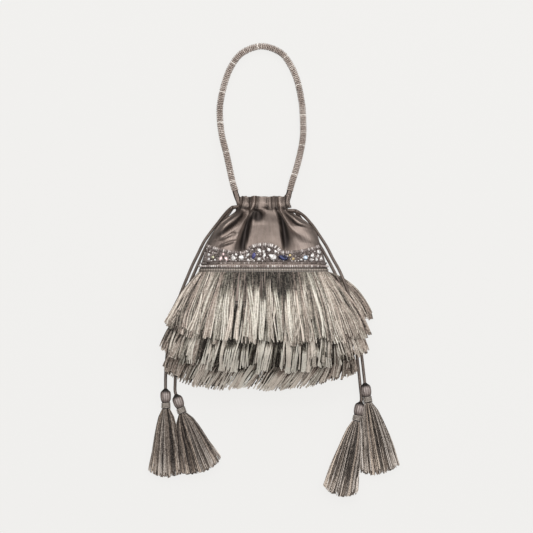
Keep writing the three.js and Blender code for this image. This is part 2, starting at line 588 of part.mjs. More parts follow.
function handleTab(end, beforeEnd, side) {
  const fromLining = LINING_WALL + TAB.standOff + TAB.thickness / 2;
  const outward = end.clone().sub(beforeEnd).normalize();
  const points = [
    end.clone().addScaledVector(outward, 2 * GAP),
    end.clone().addScaledVector(outward, TAB.rise),
    pouchPoint(side, POUCH.mouth.y, LINING_INSET + fromLining),
    pouchPoint(side, POUCH.casingTop.y + FACING_STEP + TAB.standOff, FACING_INSET + fromLining),
    pouchPoint(side, POUCH.casingBottom.y + TAB_FOOT, FACING_INSET + fromLining),
  ];
  const [width, thickness] = [TAB.width / 2, TAB.thickness / 2];
  const outline = polygon(1, HANDLE.sides).map((p) => new THREE.Vector2(p.x * width, p.y * thickness));
  return sweep(outline, points, HANDLE.tabSteps);
}

// Assembly
addPiece("satin_body", satinBody(), COLOURS.satin, 0.4);
addPiece("lining", lining(), COLOURS.lining, 0.6);
addPiece("drawstring_left", drawstring(DRAWSTRINGS.left), COLOURS.cord, 0.45);
addPiece("drawstring_right", drawstring(DRAWSTRINGS.right), COLOURS.cord, 0.45);

addPiece("embroidered_band", band(), COLOURS.band, 0.5, 0.2);
addPiece("scallop_bead_line", scallopLine(), COLOURS.beads, 0.3, 0.4);
for (const [name, row] of Object.entries(BEAD_ROWS)) {
  addPiece(`bead_row_${name}`, beadRow(frontSeat, row.y, row.diameter), COLOURS.beads, 0.3, 0.4);
}
const backRow = beadRow(backSeat, BEAD_ROWS.lower.y, BEAD_ROWS.upper.diameter);
addPiece("bead_row_back", backRow, COLOURS.beads, 0.3, 0.4);
for (const [name, cut] of Object.entries(STONES)) {
  addPiece(`stone_${name}`, stone(cut), cut.at(-1), 0.1);
}

for (const [name, fringe] of Object.entries(FRINGES)) {
  const frontTape = tape(fringe.y, frontSeat, FRONT_SIDE_ANGLE, (side) => side);
  const backTape = tape(fringe.y, backSeat, BACK_SIDE_ANGLE, (side) => 1 - side);
  addPiece(`fringe_tape_front_${name}`, frontTape, COLOURS.tape, 0.7);
  addPiece(`fringe_tape_back_${name}`, backTape, COLOURS.tape, 0.7);
  addPiece(`fringe_front_${name}`, frontFringe(fringe.y, fringe.front), COLOURS.fringe, 0.5);
  addPiece(`fringe_back_${name}`, backFringe(fringe.y, fringe.back), COLOURS.fringe, 0.5);
}

for (const [name, tassel] of Object.entries(TASSELS)) addTassel(name, tassel);

const handleRoute = HANDLE_ROUTE.map(([x, y, rest]) => new THREE.Vector3(x, y, rest + SLEEVE_RADIUS));
const bore = polygon(SLEEVE_BORE, HANDLE.coreSides);
const sleeve = sweep(polygon(SLEEVE_RADIUS, HANDLE.sides), handleRoute, HANDLE.steps, bore);
const core = sweep(polygon(ROPE.core, HANDLE.coreSides), handleRoute, HANDLE.steps);
addPiece("handle_bead_sleeve", sleeve, COLOURS.rope, 0.3, 0.3);
addPiece("handle_rope_core", core, COLOURS.cord, 0.7);
addPiece("handle_tab_left", handleTab(handleRoute[0], handleRoute[1], Math.PI), COLOURS.satin, 0.4);
addPiece("handle_tab_right", handleTab(handleRoute.at(-1), handleRoute.at(-2), 0), COLOURS.satin, 0.4);

export default bag;
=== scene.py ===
# Potli bag on its back: gathered satin pouch, jewelled band, three tiers of silk fringe, two
# drawstrings with tassels and a handle of beaded rope.
import json
import math

import bpy
import numpy as np
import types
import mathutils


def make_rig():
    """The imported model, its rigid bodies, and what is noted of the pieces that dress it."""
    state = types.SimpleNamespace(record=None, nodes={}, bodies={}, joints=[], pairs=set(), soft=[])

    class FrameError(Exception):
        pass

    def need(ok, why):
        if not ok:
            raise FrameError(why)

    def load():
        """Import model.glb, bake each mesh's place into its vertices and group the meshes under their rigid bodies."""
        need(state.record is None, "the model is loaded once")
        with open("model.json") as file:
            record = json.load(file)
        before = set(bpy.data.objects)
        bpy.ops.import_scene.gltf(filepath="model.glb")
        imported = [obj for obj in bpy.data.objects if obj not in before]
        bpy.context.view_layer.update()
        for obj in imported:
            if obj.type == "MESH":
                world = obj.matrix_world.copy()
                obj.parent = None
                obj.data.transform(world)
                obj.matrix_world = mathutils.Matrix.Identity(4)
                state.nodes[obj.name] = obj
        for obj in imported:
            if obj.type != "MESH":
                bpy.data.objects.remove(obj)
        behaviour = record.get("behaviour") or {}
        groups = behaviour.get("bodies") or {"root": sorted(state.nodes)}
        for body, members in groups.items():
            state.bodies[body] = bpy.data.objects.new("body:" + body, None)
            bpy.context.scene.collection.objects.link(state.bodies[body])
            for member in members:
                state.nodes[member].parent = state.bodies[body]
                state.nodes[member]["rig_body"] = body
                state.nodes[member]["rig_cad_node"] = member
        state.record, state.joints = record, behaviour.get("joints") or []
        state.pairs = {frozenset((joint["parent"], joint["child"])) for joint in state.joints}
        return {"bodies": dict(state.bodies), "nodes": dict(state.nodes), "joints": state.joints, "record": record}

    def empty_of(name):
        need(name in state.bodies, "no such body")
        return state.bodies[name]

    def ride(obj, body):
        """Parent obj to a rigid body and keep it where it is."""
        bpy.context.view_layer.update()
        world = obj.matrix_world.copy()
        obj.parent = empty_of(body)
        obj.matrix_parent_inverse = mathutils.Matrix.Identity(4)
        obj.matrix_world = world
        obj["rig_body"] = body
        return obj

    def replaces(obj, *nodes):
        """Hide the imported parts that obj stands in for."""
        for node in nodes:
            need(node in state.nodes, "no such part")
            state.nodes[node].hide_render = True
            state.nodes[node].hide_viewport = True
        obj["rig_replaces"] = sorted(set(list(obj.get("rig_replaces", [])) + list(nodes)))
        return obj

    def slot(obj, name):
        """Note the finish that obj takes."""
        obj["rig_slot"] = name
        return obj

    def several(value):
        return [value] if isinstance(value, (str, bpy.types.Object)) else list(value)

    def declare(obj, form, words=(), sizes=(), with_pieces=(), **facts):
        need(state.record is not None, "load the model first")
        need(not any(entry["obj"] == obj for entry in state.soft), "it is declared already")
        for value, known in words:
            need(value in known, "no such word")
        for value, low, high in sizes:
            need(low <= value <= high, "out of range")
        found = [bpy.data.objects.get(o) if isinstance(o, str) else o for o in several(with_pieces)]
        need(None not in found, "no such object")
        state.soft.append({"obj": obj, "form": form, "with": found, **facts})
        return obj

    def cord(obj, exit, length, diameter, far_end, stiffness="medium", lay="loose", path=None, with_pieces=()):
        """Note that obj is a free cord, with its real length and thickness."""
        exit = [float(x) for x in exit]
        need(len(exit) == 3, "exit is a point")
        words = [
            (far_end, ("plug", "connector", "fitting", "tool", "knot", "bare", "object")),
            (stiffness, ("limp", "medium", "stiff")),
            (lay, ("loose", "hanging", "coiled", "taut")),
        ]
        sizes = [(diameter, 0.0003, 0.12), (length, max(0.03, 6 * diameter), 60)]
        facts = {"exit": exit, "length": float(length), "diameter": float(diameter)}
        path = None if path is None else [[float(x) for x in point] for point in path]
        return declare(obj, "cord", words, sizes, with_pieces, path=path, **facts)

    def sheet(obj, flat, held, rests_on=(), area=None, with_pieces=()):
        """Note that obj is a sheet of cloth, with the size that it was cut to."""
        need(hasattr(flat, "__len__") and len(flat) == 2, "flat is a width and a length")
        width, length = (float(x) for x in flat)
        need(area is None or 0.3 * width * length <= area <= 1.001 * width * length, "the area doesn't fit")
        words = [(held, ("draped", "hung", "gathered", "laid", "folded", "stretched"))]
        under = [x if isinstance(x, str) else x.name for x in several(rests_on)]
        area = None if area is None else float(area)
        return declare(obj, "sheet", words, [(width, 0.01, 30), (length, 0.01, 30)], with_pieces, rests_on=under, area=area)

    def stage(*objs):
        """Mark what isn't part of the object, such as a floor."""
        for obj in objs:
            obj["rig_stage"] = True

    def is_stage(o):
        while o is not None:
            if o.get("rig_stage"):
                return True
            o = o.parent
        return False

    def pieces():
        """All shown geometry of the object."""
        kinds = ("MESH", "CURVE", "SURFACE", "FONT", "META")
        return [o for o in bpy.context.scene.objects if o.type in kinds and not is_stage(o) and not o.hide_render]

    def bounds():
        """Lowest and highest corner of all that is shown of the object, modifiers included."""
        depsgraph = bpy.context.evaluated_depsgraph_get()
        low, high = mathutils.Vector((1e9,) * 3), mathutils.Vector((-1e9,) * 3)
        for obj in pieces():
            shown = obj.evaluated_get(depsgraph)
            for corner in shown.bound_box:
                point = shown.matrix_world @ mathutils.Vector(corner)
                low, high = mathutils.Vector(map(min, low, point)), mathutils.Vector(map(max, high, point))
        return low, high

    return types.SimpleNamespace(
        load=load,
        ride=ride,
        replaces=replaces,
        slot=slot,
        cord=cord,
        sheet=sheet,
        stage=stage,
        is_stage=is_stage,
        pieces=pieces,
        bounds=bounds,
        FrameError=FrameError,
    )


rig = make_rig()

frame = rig.load()
cad_low, cad_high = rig.bounds()

# Table, lamps and camera. The bag lies on a pale table that glows, so that hardly any shadow shows on
# it, and is seen from straight above. One wide lamp stands beyond the handle, one hangs overhead, and a
# weak one stands at the right.
MM = 0.001
PIXEL = 1.05 * MM  # of the table in one pixel of the picture
PICTURE_SIDE = 533
PICTURE_MIDDLE = (0.5 * PIXEL, -50.0 * PIXEL)
EYE_HEIGHT = 4.0
FOCUS_HEIGHT = 0.007  # at which a pixel has its size
SENSOR = 36.0
TABLE_SIDE = 24.0
TABLE_GLOW = {"share": 0.95, "strength": 0.975}
LAMPS = (  # place, turn, width, depth and power
    ((-0.1, 1.35, 1.4), (-0.78, -0.05, 0.0), 3.2, 1.4, 46.0),
    ((0.0, 0.0, 4.6), (0.0, 0.0, 0.0), 2.2, 2.2, 127.0),
    ((1.7, 0.1, 1.5), (0.0, 0.85, 0.0), 1.4, 1.4, 14.0),
)
ROOM_LIGHT = {"Color": (1.0, 0.99, 0.98, 1.0), "Strength": 0.16}


def srgb(*levels):
    """A colour from its 0 to 255 screen levels, as light."""
    shares = [level / 255 for level in levels]
    linear = [s / 12.92 if s <= 0.04045 else ((s + 0.055) / 1.055) ** 2.4 for s in shares]
    return (*linear, 1.0)


class Ink:
    """An output in a material's node tree. Sums, differences and products of inks add math nodes."""

    def __init__(self, tree, socket=None):
        self.tree = tree
        self.socket = socket

    def add(self, kind, settings=None, values=None, out=0):
        node = self.tree.nodes.new(kind)
        for name, value in (settings or {}).items():
            setattr(node, name, value)
        for name, value in (values or {}).items():
            if isinstance(value, Ink):
                self.tree.links.new(value.socket, node.inputs[name])
            else:
                node.inputs[name].default_value = value
        return Ink(self.tree, node.outputs[out] if node.outputs else None)

    def math(self, operation, *operands):
        return self.add("ShaderNodeMath", {"operation": operation}, dict(enumerate(operands)))

    def __add__(self, other):
        return self.math("ADD", self, other)

    def __sub__(self, other):
        return self.math("SUBTRACT", self, other)

    def __rsub__(self, other):
        return self.math("SUBTRACT", other, self)

    def __mul__(self, other):
        return self.math("MULTIPLY", self, other)

    __radd__ = __add__
    __rmul__ = __mul__

    def ramp(self, *stops):
        """Colours along this value, from stops of a place and a colour."""
        ink = self.add("ShaderNodeValToRGB", None, {"Fac": self})
        elements = ink.socket.node.color_ramp.elements
        while len(elements) < len(stops):
            elements.new(1.0)
        for element, (place, colour) in zip(elements, stops):
            element.position = place
            element.color = colour
        return ink

    def value(self, name):
        """A value stored at the vertices under this name."""
        return self.add("ShaderNodeAttribute", {"attribute_name": name}, out="Fac")

    def place(self):
        """Places in the bag's own frame."""
        return self.add("ShaderNodeTexCoord", out="Object")

    def cloth(self):
        """Places on a piece's cloth laid flat, or along its cord."""
        return self.add("ShaderNodeUVMap", {"uv_map": "UVMap"})

    def mix(self, share, first, second):
        """Colours mixed by a share of the second one."""
        return self.add("ShaderNodeMix", {"data_type": "RGBA"}, {0: share, 6: first, 7: second}, out=2)

    def stretch(self, where, *shares):
        """Places drawn out along some of their directions."""
        return self.add("ShaderNodeVectorMath", {"operation": "MULTIPLY"}, {0: where, 1: shares})

    def noise(self, where, scale, detail=2.0):
        return self.add("ShaderNodeTexNoise", None, {"Vector": where, "Scale": scale, "Detail": detail})

    def wave(self, where, scale, distortion=0.0, bands="X"):
        values = {"Vector": where, "Scale": scale, "Distortion": distortion}
        return self.add("ShaderNodeTexWave", {"bands_direction": bands}, values, out="Fac")

    def bump(self, height, strength, distance):
        values = {"Height": height, "Strength": strength, "Distance": distance}
        return self.add("ShaderNodeBump", None, values)

    def finish(self, colour, roughness, values=None):
        """The shader of a finish, with the values of its other sockets."""
        sockets = {"Base Color": colour, "Roughness": roughness, **(values or {})}
        return self.add("ShaderNodeBsdfPrincipled", None, sockets)


def material(name, surface):
    """A material whose shader is what surface(ink) returns."""
    made = bpy.data.materials.new(name)
    made.use_nodes = True
    made.node_tree.nodes.clear()
    ink = Ink(made.node_tree)
    ink.add("ShaderNodeOutputMaterial", None, {"Surface": surface(ink)})
    return made


def table_surface(ink):
    paper = ink.noise(ink.place(), 900.0).ramp((0.0, srgb(236, 235, 233)), (1.0, srgb(246, 245, 243)))
    matt = ink.add("ShaderNodeBsdfDiffuse", None, {"Color": paper})
    light = {"Color": srgb(241, 240, 238), "Strength": TABLE_GLOW["strength"]}
    glow = ink.add("ShaderNodeEmission", None, light)
    return ink.add("ShaderNodeMixShader", None, {"Fac": TABLE_GLOW["share"], 1: matt, 2: glow})


bpy.ops.object.select_all(action="DESELECT")
bpy.ops.mesh.primitive_plane_add(size=TABLE_SIDE)
table = bpy.context.object
table.name = "table"
table.data.materials.append(material("table", table_surface))
table.visible_diffuse = False
table.visible_glossy = False
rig.stage(table)

for place, turn, width, depth, power in LAMPS:
    bpy.ops.object.light_add(type="AREA", location=place, rotation=turn)
    lamp = bpy.context.object
    lamp.data.shape = "RECTANGLE"
    lamp.data.size = width
    lamp.data.size_y = depth
    lamp.data.energy = power

world = bpy.data.worlds.new("room")
world.use_nodes = True
for socket, value in ROOM_LIGHT.items():
    world.node_tree.nodes["Background"].inputs[socket].default_value = value
scene = bpy.context.scene
scene.world = world
scene.view_settings.view_transform = "Standard"

bpy.ops.object.camera_add(location=(*PICTURE_MIDDLE, EYE_HEIGHT))
camera = bpy.context.object
camera.data.sensor_width = SENSOR
camera.data.lens = SENSOR * (EYE_HEIGHT - FOCUS_HEIGHT) / (PICTURE_SIDE * PIXEL)
scene.camera = camera

# Satin pouch: a bag of taupe satin, drawn together by its two cords. The neck stands up as a pleated
# ruffle, and deep folds run down from the cords over the yoke and die out at the jewelled band.
CENTRE_X = -2.5 * MM
SECTION_POWER = 2.4  # 2 is an ellipse, more is boxier
POUCH_Y = MM * np.array([-157, -140, -105, -53, -25, -8, 4.2, 13.2, 20.5])
POUCH = MM * np.array([  # half width, height of the back, height of the front
    [46, 26, 33], [74, 14, 50], [77, 8.6, 58], [66, 5.2, 54], [56, 4, 47],
    [44, 3, 38], [28.8, 2.6, 30], [28, 2.6, 30], [29.5, 1.2, 31],
])
SATIN_WALL = 1.0 * MM
SATIN_COLUMNS = 240
SATIN_LEVELS = ((20.5, -46, 108), (-49, -157, 26))  # rows from and to, and how many, closer over the folds
MOUTH_Y = 20.5 * MM
CASING_Y = 8.7 * MM
# Each fold is rows of place along the bag, place across it, height, reach to the left and to the right
FOLDS = [np.array(rows) * MM for rows in (
    # valley at the left of the middle panel, with a crease standing in it
    [(-44, -25, 0, 6, 3), (-34, -23.5, -4, 6.5, 3.2), (-24, -21.5, -7, 6.2, 3), (-14, -19.5, -7.5, 5, 2.4),
     (-5, -17, -6.5, 4.5, 2.2), (3, -12.5, -4, 3.5, 2.2), (9, -10.5, -2, 2.2, 2), (26, -9, -2.8, 1.5, 1.5)],
    [(-42, -22.5, 0, 1.2, 1.2), (-34, -20.5, 2.2, 1.1, 1.1), (-26, -18.5, 2.4, 1.1, 1.1),
     (-17, -17.5, 0, 1, 1)],
    # hollow under the cords, at the top of the middle panel
    [(-9, -7.5, 0, 6, 5), (-4, -8, -4, 6, 5), (0, -8, -7.5, 6.2, 5), (4, -8, -5.5, 5.5, 4.5),
     (8, -8, 0, 5, 4)],
    # left of it a ridge, a leaf-shaped hollow and the small creases beside it
    [(-40, -36, 0, 5, 4), (-30, -33, 1.6, 5, 4.5), (-14, -27.5, 2.8, 4.2, 4), (0, -20, 2.6, 3, 3),
     (6, -18, 1.5, 2.6, 2.6), (10, -17, 0, 3, 3)],
    [(-24, -50, 0, 6, 5), (-18, -45.5, -4.5, 4.5, 4), (-12, -38.5, -7.5, 4.2, 3.8),
     (-6, -31.5, -6.6, 3.8, 3.2), (1, -25.5, -4, 2.8, 2.6), (9, -24.5, -1.8, 2, 2),
     (26, -23, -2.4, 1.5, 1.5)],
    [(-26, -47, 0, 3, 3), (-23, -42, -2.6, 3, 2.6), (-19.5, -36, -2.6, 2.6, 2.4), (-16, -32, 0, 3, 3)],
    [(-33, -48, 0, 4, 3), (-30, -42, -2.6, 3.4, 2.8), (-27, -36, -2.4, 3, 2.8), (-24, -31, 0, 3, 3)],
    [(-24, -46, 0, 3, 3), (-18, -40, 1.5, 3, 3), (-12, -33.5, 1.2, 3, 3), (-8, -30, 0, 3, 3)],
    # valley at the right of the panel, sharp on the panel's side
    [(-44, 20.5, 0, 4, 9), (-32, 19.5, -3.5, 2.2, 7.5), (-20, 18, -6.5, 1.9, 6), (-8, 16, -7, 1.8, 5.2),
     (1, 13.8, -4.5, 1.9, 4), (7, 11.5, -2, 1.8, 2.4), (26, 9.6, -2.6, 1.4, 1.4)],
    # crease that runs out to the right, and the ridge between the two
    [(-17, 54, 0, 9, 9), (-12.5, 44, -2.2, 5, 7), (-9.5, 34, -4.2, 3.6, 4.5), (-4, 27, -4.8, 2.8, 3),
     (3, 20.5, -3, 2.2, 2.2), (9, 19.5, -1.6, 1.8, 1.8), (26, 19.4, -2.6, 1.4, 1.4)],
    [(-28, 44, 0, 7, 7), (-20, 36.5, 1.8, 6, 6), (-10, 25.5, 3, 3, 4), (0, 18.2, 2.6, 2.2, 2.6),
     (6, 15.5, 1.8, 2, 2), (26, 14.8, 1.4, 2, 2)],
    # pleats of the ruffle
    [(3, -16.5, 0, 1.2, 1.2), (10, -16.2, -2.2, 1.2, 1.2), (26, -15.8, -2.8, 1.3, 1.3)],
    [(3, -27.5, 0, 1.2, 1.2), (10, -27.5, -1.8, 1.2, 1.2), (26, -27.8, -2.2, 1.3, 1.3)],
    [(4, 5.5, 0, 1.1, 1.1), (11, 6.4, -1.8, 1, 1), (26, 6.8, -2.2, 1.1, 1.1)],
    [(6, 1, 0, 1, 1), (12, 1.5, -1, 0.9, 0.9), (26, 2, -0.8, 1, 1)],
    [(7, -12.4, 0, 1.4, 1.4), (14, -12.2, 1.6, 1.4, 1.4), (26, -11.8, 2, 1.6, 1.6)],
    [(3, 23, 0, 1.7, 1.7), (10, 24, 2.4, 1.7, 1.7), (26, 24.6, 3, 1.8, 1.8)],
)]
# Rows of place along the bag and depth of the small gathers at the sides and the back
GATHERS = np.array([[-45, 0], [-30, 0.6], [-12, 2.0], [2, 1.6], [9, 0.8], [21, 1.8]]) * MM
CLOTH_ROUND = 0.06  # width of flat cloth for each radian round the bag
BASE_ON_CLOTH = (0.2, -0.16)
# Waves round the bag: how many, where each starts and its height
GATHER_WAVES = ((14, 1.0, 0.5), (23, 2.5, 0.5), (37, 0.0, 0.25))
CASING_WAVES = ((9, -math.pi / 2, 0.9 * MM), (21, 1 - math.pi / 2, 0.6 * MM))
CINCH_WAVES = ((0, 0.0, 0.65), (17, 0.0, 0.35))
CINCH = {"half": 2.2 * MM, "depth": 1.3 * MM}  # the dent that the cords draw into the neck
PUFF = {"from": 9 * MM, "to": 14.5 * MM, "height": 1.2 * MM}  # by which the ruffle swells over the dent
FRONT_FACING = (0.05, 0.35)  # sines of the angles between which the front's folds take over


def hermite(places, values, at):
    """Smooth values through the given places, which rise, read at other places."""
    last = len(places) - 1
    behind = np.maximum(np.arange(last + 1) - 1, 0)
    ahead = np.minimum(np.arange(last + 1) + 1, last)
    slopes = (values[ahead] - values[behind]) / (places[ahead] - places[behind])[:, None]
    i = np.clip(np.searchsorted(places, at, side="right") - 1, 0, last - 1)
    span = (places[i + 1] - places[i])[..., None]
    t = np.clip((np.asarray(at) - places[i])[..., None] / span, 0, 1)
    rise = t * t * (3 - 2 * t)
    start = t * (1 - t) ** 2 * span * slopes[i]
    end = t * t * (t - 1) * span * slopes[i + 1]
    return values[i] * (1 - rise) + values[i + 1] * rise + start + end


def smoothstep(value, low, high):
    t = np.clip((value - low) / (high - low), 0, 1)
    return t * t * (3 - 2 * t)


def unit(vectors):
    return vectors / np.maximum(np.linalg.norm(vectors, axis=-1, keepdims=True), 1e-12)


def bell(offset, half):
    return np.exp(-((offset / half) ** 2))


def waves(angle, rows):
    return sum(height * np.cos(count * angle + start) for count, start, height in rows)


def boxy(share):
    """A cosine or sine of a round section, drawn out to the pouch's boxier one."""
    return np.sign(share) * np.abs(share) ** (2 / SECTION_POWER)


def pouch_point(angle, y, out=0.0):
    """A point on the pouch: angle round it (0 at the right side, 90 degrees at the front), place along
    it, and distance outside its face."""
    angle, y = np.broadcast_arrays(angle, y)
    half, back, front = np.moveaxis(hermite(POUCH_Y, POUCH, y), -1, 0)
    x = CENTRE_X + (half + out) * boxy(np.cos(angle))
    z = (back + front) / 2 + ((front - back) / 2 + out) * boxy(np.sin(angle))
    return np.stack([x, y, z], axis=-1)


def front_folds(x, y):
    height = np.zeros_like(x)
    for rows in FOLDS:
        place, crest, left, right = np.moveaxis(hermite(rows[:, 0], rows[:, 1:], y), -1, 0)
        height += crest * bell(x - place, np.where(x < place, left, right))
    return height


def fold_height(angle, y, front):
    """Height of the folds over the smooth pouch, given that of the front's folds."""
    depth = np.maximum(hermite(GATHERS[:, 0], GATHERS[:, 1:], y)[..., 0], 0)
    gathers = depth * waves(angle, GATHER_WAVES)
    facing = smoothstep(np.sin(angle), *FRONT_FACING)
    off_casing = y - CASING_Y - waves(angle, CASING_WAVES)
    cinch = CINCH["depth"] * bell(off_casing, CINCH["half"]) * waves(angle, CINCH_WAVES)
    puff = PUFF["height"] * smoothstep(y, PUFF["from"], PUFF["to"])
    return facing * front + (1 - facing) * gathers + puff - cinch


def pouch_skin(angles, levels, out=0.0):
    """Rows of points over the folded pouch, from the mouth down."""
    angle, y = np.meshgrid(angles, levels)
    points = pouch_point(angle, y, out)
    around = np.roll(points, -1, axis=1) - np.roll(points, 1, axis=1)
    down = np.gradient(points, axis=0)
    height = fold_height(angle, y, front_folds(points[..., 0], y))
    return points + unit(np.cross(down, around)) * height[..., None]


def mesh_object(name, vertices, faces, made_of, uv=None, smooth=True, **values):
    """An object of one mesh. Places on its cloth and named values are given for each vertex."""
    mesh = bpy.data.meshes.new(name)
    mesh.from_pydata(vertices.reshape(-1, 3), [], [face for group in faces for face in group.tolist()])
    corners = np.empty(len(mesh.loops), int)
    mesh.loops.foreach_get("vertex_index", corners)
    if uv is not None:
        layer = mesh.uv_layers.new(name="UVMap")
        layer.uv.foreach_set("vector", uv.reshape(-1, 2)[corners].astype(np.float32).ravel())
    for value_name, levels in values.items():
        layer = mesh.attributes.new(value_name, "FLOAT", "POINT")
        layer.data.foreach_set("value", np.asarray(levels, np.float32).ravel())
    if smooth:
        mesh.shade_smooth()
    mesh.materials.append(made_of)
    made = bpy.data.objects.new(name, mesh)
    scene.collection.objects.link(made)
    return made


def grid_faces(rows, columns, closed):
    """Quads over a grid of points, joined round when closed."""
    i, j = np.meshgrid(np.arange(rows - 1), np.arange(columns - (not closed)), indexing="ij")
    here = i * columns
    below = here + columns
    k = (j + 1) % columns
    return np.stack([here + j, below + j, below + k, here + k], axis=-1).reshape(-1, 4)


def ring_turns(count):
    """Angles of points evenly round a ring."""
    return np.linspace(0, 2 * math.pi, count, endpoint=False)


def down_the_bag(parts):
    return MM * np.concatenate([np.linspace(*part) for part in parts])


def bag(name, skin, angles, levels, made_of, sewn=slice(None), **values):
    """A bag over rows of points from the mouth down, closed at its base, of those quads that are sewn in."""
    rows, columns = skin.shape[:2]
    quads = grid_faces(rows, columns, True)[sewn, ::-1]
    last_ring = np.arange((rows - 1) * columns, rows * columns)
    base = np.stack([np.roll(last_ring, -1), np.full(columns, rows * columns), last_ring], axis=-1)
    vertices = np.vstack([skin.reshape(-1, 3), skin[-1].mean(axis=0)])
    uv = np.stack(np.meshgrid(angles * CLOTH_ROUND, levels), axis=-1).reshape(-1, 2)
    return mesh_object(name, vertices, [quads, base], made_of, uv=np.vstack([uv, BASE_ON_CLOTH]), **values)


def thicken(piece, thickness):
    piece.modifiers.new("cloth", "SOLIDIFY").thickness = thickness
    piece.modifiers["cloth"].offset = -1.0


def satin_surface(ink):
    cloth = ink.cloth()
    where = ink.place()
    threads = ink.wave(cloth, 1300.0, 0.6, "DIAGONAL")
    cloud = ink.noise(where, 60.0, 4.0)
    slub = ink.noise(ink.stretch(cloth, 1.0, 0.15, 1.0), 500.0, 3.0)
    creases = ink.noise(where, 130.0, 3.0)
    # Its tone carries painted shade in the folds' hollows and painted highlight on the crests and flanks
    tint = (cloud * 0.55 + threads * 0.1 + slub * 0.35) * ink.value("tone")
    colour = tint.ramp(
        (0.0, srgb(22, 17, 16)), (0.3, srgb(88, 78, 72)),
        (0.55, srgb(118, 106, 99)), (0.8, srgb(150, 137, 129)),
    )
    normal = ink.bump(threads * 0.1 + creases * 0.9, 0.22, 0.0006)
    return ink.finish(colour, 0.42 + 0.1 * slub, {"Metallic": 0.8, "Normal": normal})


satin = material("satin", satin_surface)
satin_angles = ring_turns(SATIN_COLUMNS)
satin_levels = down_the_bag(SATIN_LEVELS)
skin = pouch_skin(satin_angles, satin_levels)

# The mouth's edge ripples, stands up at the right corner, and dips at the left one, where the handle's tab
# shows. The yoke bulges at its right side.
MOUTH = {"rise": 2.2 * MM, "rise_x": 26 * MM, "rise_half": 6 * MM, "dip": 9 * MM}
RIPPLE = {"height": 0.6 * MM, "count": 11, "start": 0.7}
DIP_X = (-25.5 * MM, -28 * MM)
BULGE = {"out": 2.6 * MM, "y": -15 * MM, "half": 13 * MM}
SIDE_FACING = (0.6, 1.0)  # cosines of the angles between which the bulge grows
SATIN_FLOOR = 0.4 * MM  # lowest that the satin lies over the table
edge = MOUTH["rise"] * bell(skin[..., 0] - MOUTH["rise_x"], MOUTH["rise_half"])
edge += RIPPLE["height"] * np.sin(RIPPLE["count"] * satin_angles + RIPPLE["start"])
edge -= MOUTH["dip"] * smoothstep(skin[..., 0], *DIP_X) * (np.sin(satin_angles) > 0.0)
skin[..., 1] += edge * smoothstep(satin_levels, PUFF["from"], MOUTH_Y)[:, None]
bulge = bell(satin_levels - BULGE["y"], BULGE["half"])[:, None]
bulge = bulge * smoothstep(np.cos(satin_angles), *SIDE_FACING)
skin[..., 0] += BULGE["out"] * bulge
skin[..., 2] = np.maximum(skin[..., 2], SATIN_FLOOR)

# Tone of the satin, painted light: painted shade darkens the hollows of its folds, and painted highlight
# pales the crests of the ruffle and the flanks of the yoke. A hollow's painted shade begins at one depth, in
# millimetres, and is full at another.
RUFFLE_Y = (5 * MM, 10 * MM)
FLANK_X = (22 * MM, 42 * MM)
YOKE_SHADE = {"begins": 0.9, "full": 3.9, "strength": 0.9}
RUFFLE_SHADE = {"begins": -0.4, "full": 2.0, "strength": 0.75}
# Heights of a crest in millimetres between which its painted highlight grows, and how strong the painted highlight is
# on crests and flanks
CREST_HIGHLIGHT = (0.4, 2.4)
PAINTED_HIGHLIGHT = 0.4
in_ruffle = smoothstep(satin_levels, *RUFFLE_Y)[:, None]
shade = {key: level + (RUFFLE_SHADE[key] - level) * in_ruffle for key, level in YOKE_SHADE.items()}
shown_folds = front_folds(skin[..., 0], skin[..., 1])
depth = -fold_height(*np.meshgrid(satin_angles, satin_levels), shown_folds) / MM
# Painted shade in the hollows, and painted highlight on the ruffle's crests and the yoke's flanks
hollow_shade = shade["strength"] * smoothstep(depth, shade["begins"], shade["full"])
crest = smoothstep(-depth, *CREST_HIGHLIGHT) * in_ruffle
flank_highlight = smoothstep(np.abs(skin[..., 0] - CENTRE_X), *FLANK_X) * (1 - in_ruffle)
satin_shade_and_highlight = (1 + PAINTED_HIGHLIGHT * (crest + flank_highlight)) * (1 - hollow_shade)

# The slots through which the cords come out of the casing
SLOT = {"half_length": 7.6 * MM, "half_height": 2.6 * MM, "z": 16.2 * MM, "from_middle": 20 * MM}
LOOP_Y = {"left": 10.8 * MM, "right": 6.6 * MM}
middles = skin.reshape(-1, 3)[grid_faces(*skin.shape[:2], True)].mean(axis=1)
slot_y = np.where(middles[:, 0] < 0, LOOP_Y["left"], LOOP_Y["right"])
in_slot = np.abs(middles[:, 2] - SLOT["z"]) < SLOT["half_length"]
in_slot &= np.abs(middles[:, 1] - slot_y) < SLOT["half_height"]
in_slot &= np.abs(middles[:, 0] - CENTRE_X) > SLOT["from_middle"]
satin_piece = bag(
    "satin_pouch", skin, satin_angles, satin_levels, satin, sewn=~in_slot,
    tone=np.append(satin_shade_and_highlight.ravel(), 1.0),
)
thicken(satin_piece, SATIN_WALL)
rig.ride(satin_piece, "root")
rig.replaces(satin_piece, "satin_body")
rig.slot(satin_piece, "satin")

# Lining: a second bag, of plain taupe cloth, sewn to the satin along the mouth. It follows the satin's
# folds on the inside and shows only in the mouth.
LINING_IN = 3.2 * MM
LINING_WALL = 0.6 * MM
LINING_FLOOR = 1.8 * MM
LINING_COLUMNS = 120
LINING_LEVELS = ((18.5, -46, 50), (-52, -154, 20))


def lining_surface(ink):
    cloth = ink.cloth()
    weave = ink.wave(cloth, 900.0) * 0.5 + ink.wave(cloth, 900.0, bands="Y") * 0.5
    colour = weave.ramp((0.2, srgb(104, 94, 87)), (0.8, srgb(128, 116, 108)))
    return ink.finish(colour, 0.7, {"Normal": ink.bump(weave, 0.3, 0.0003)})


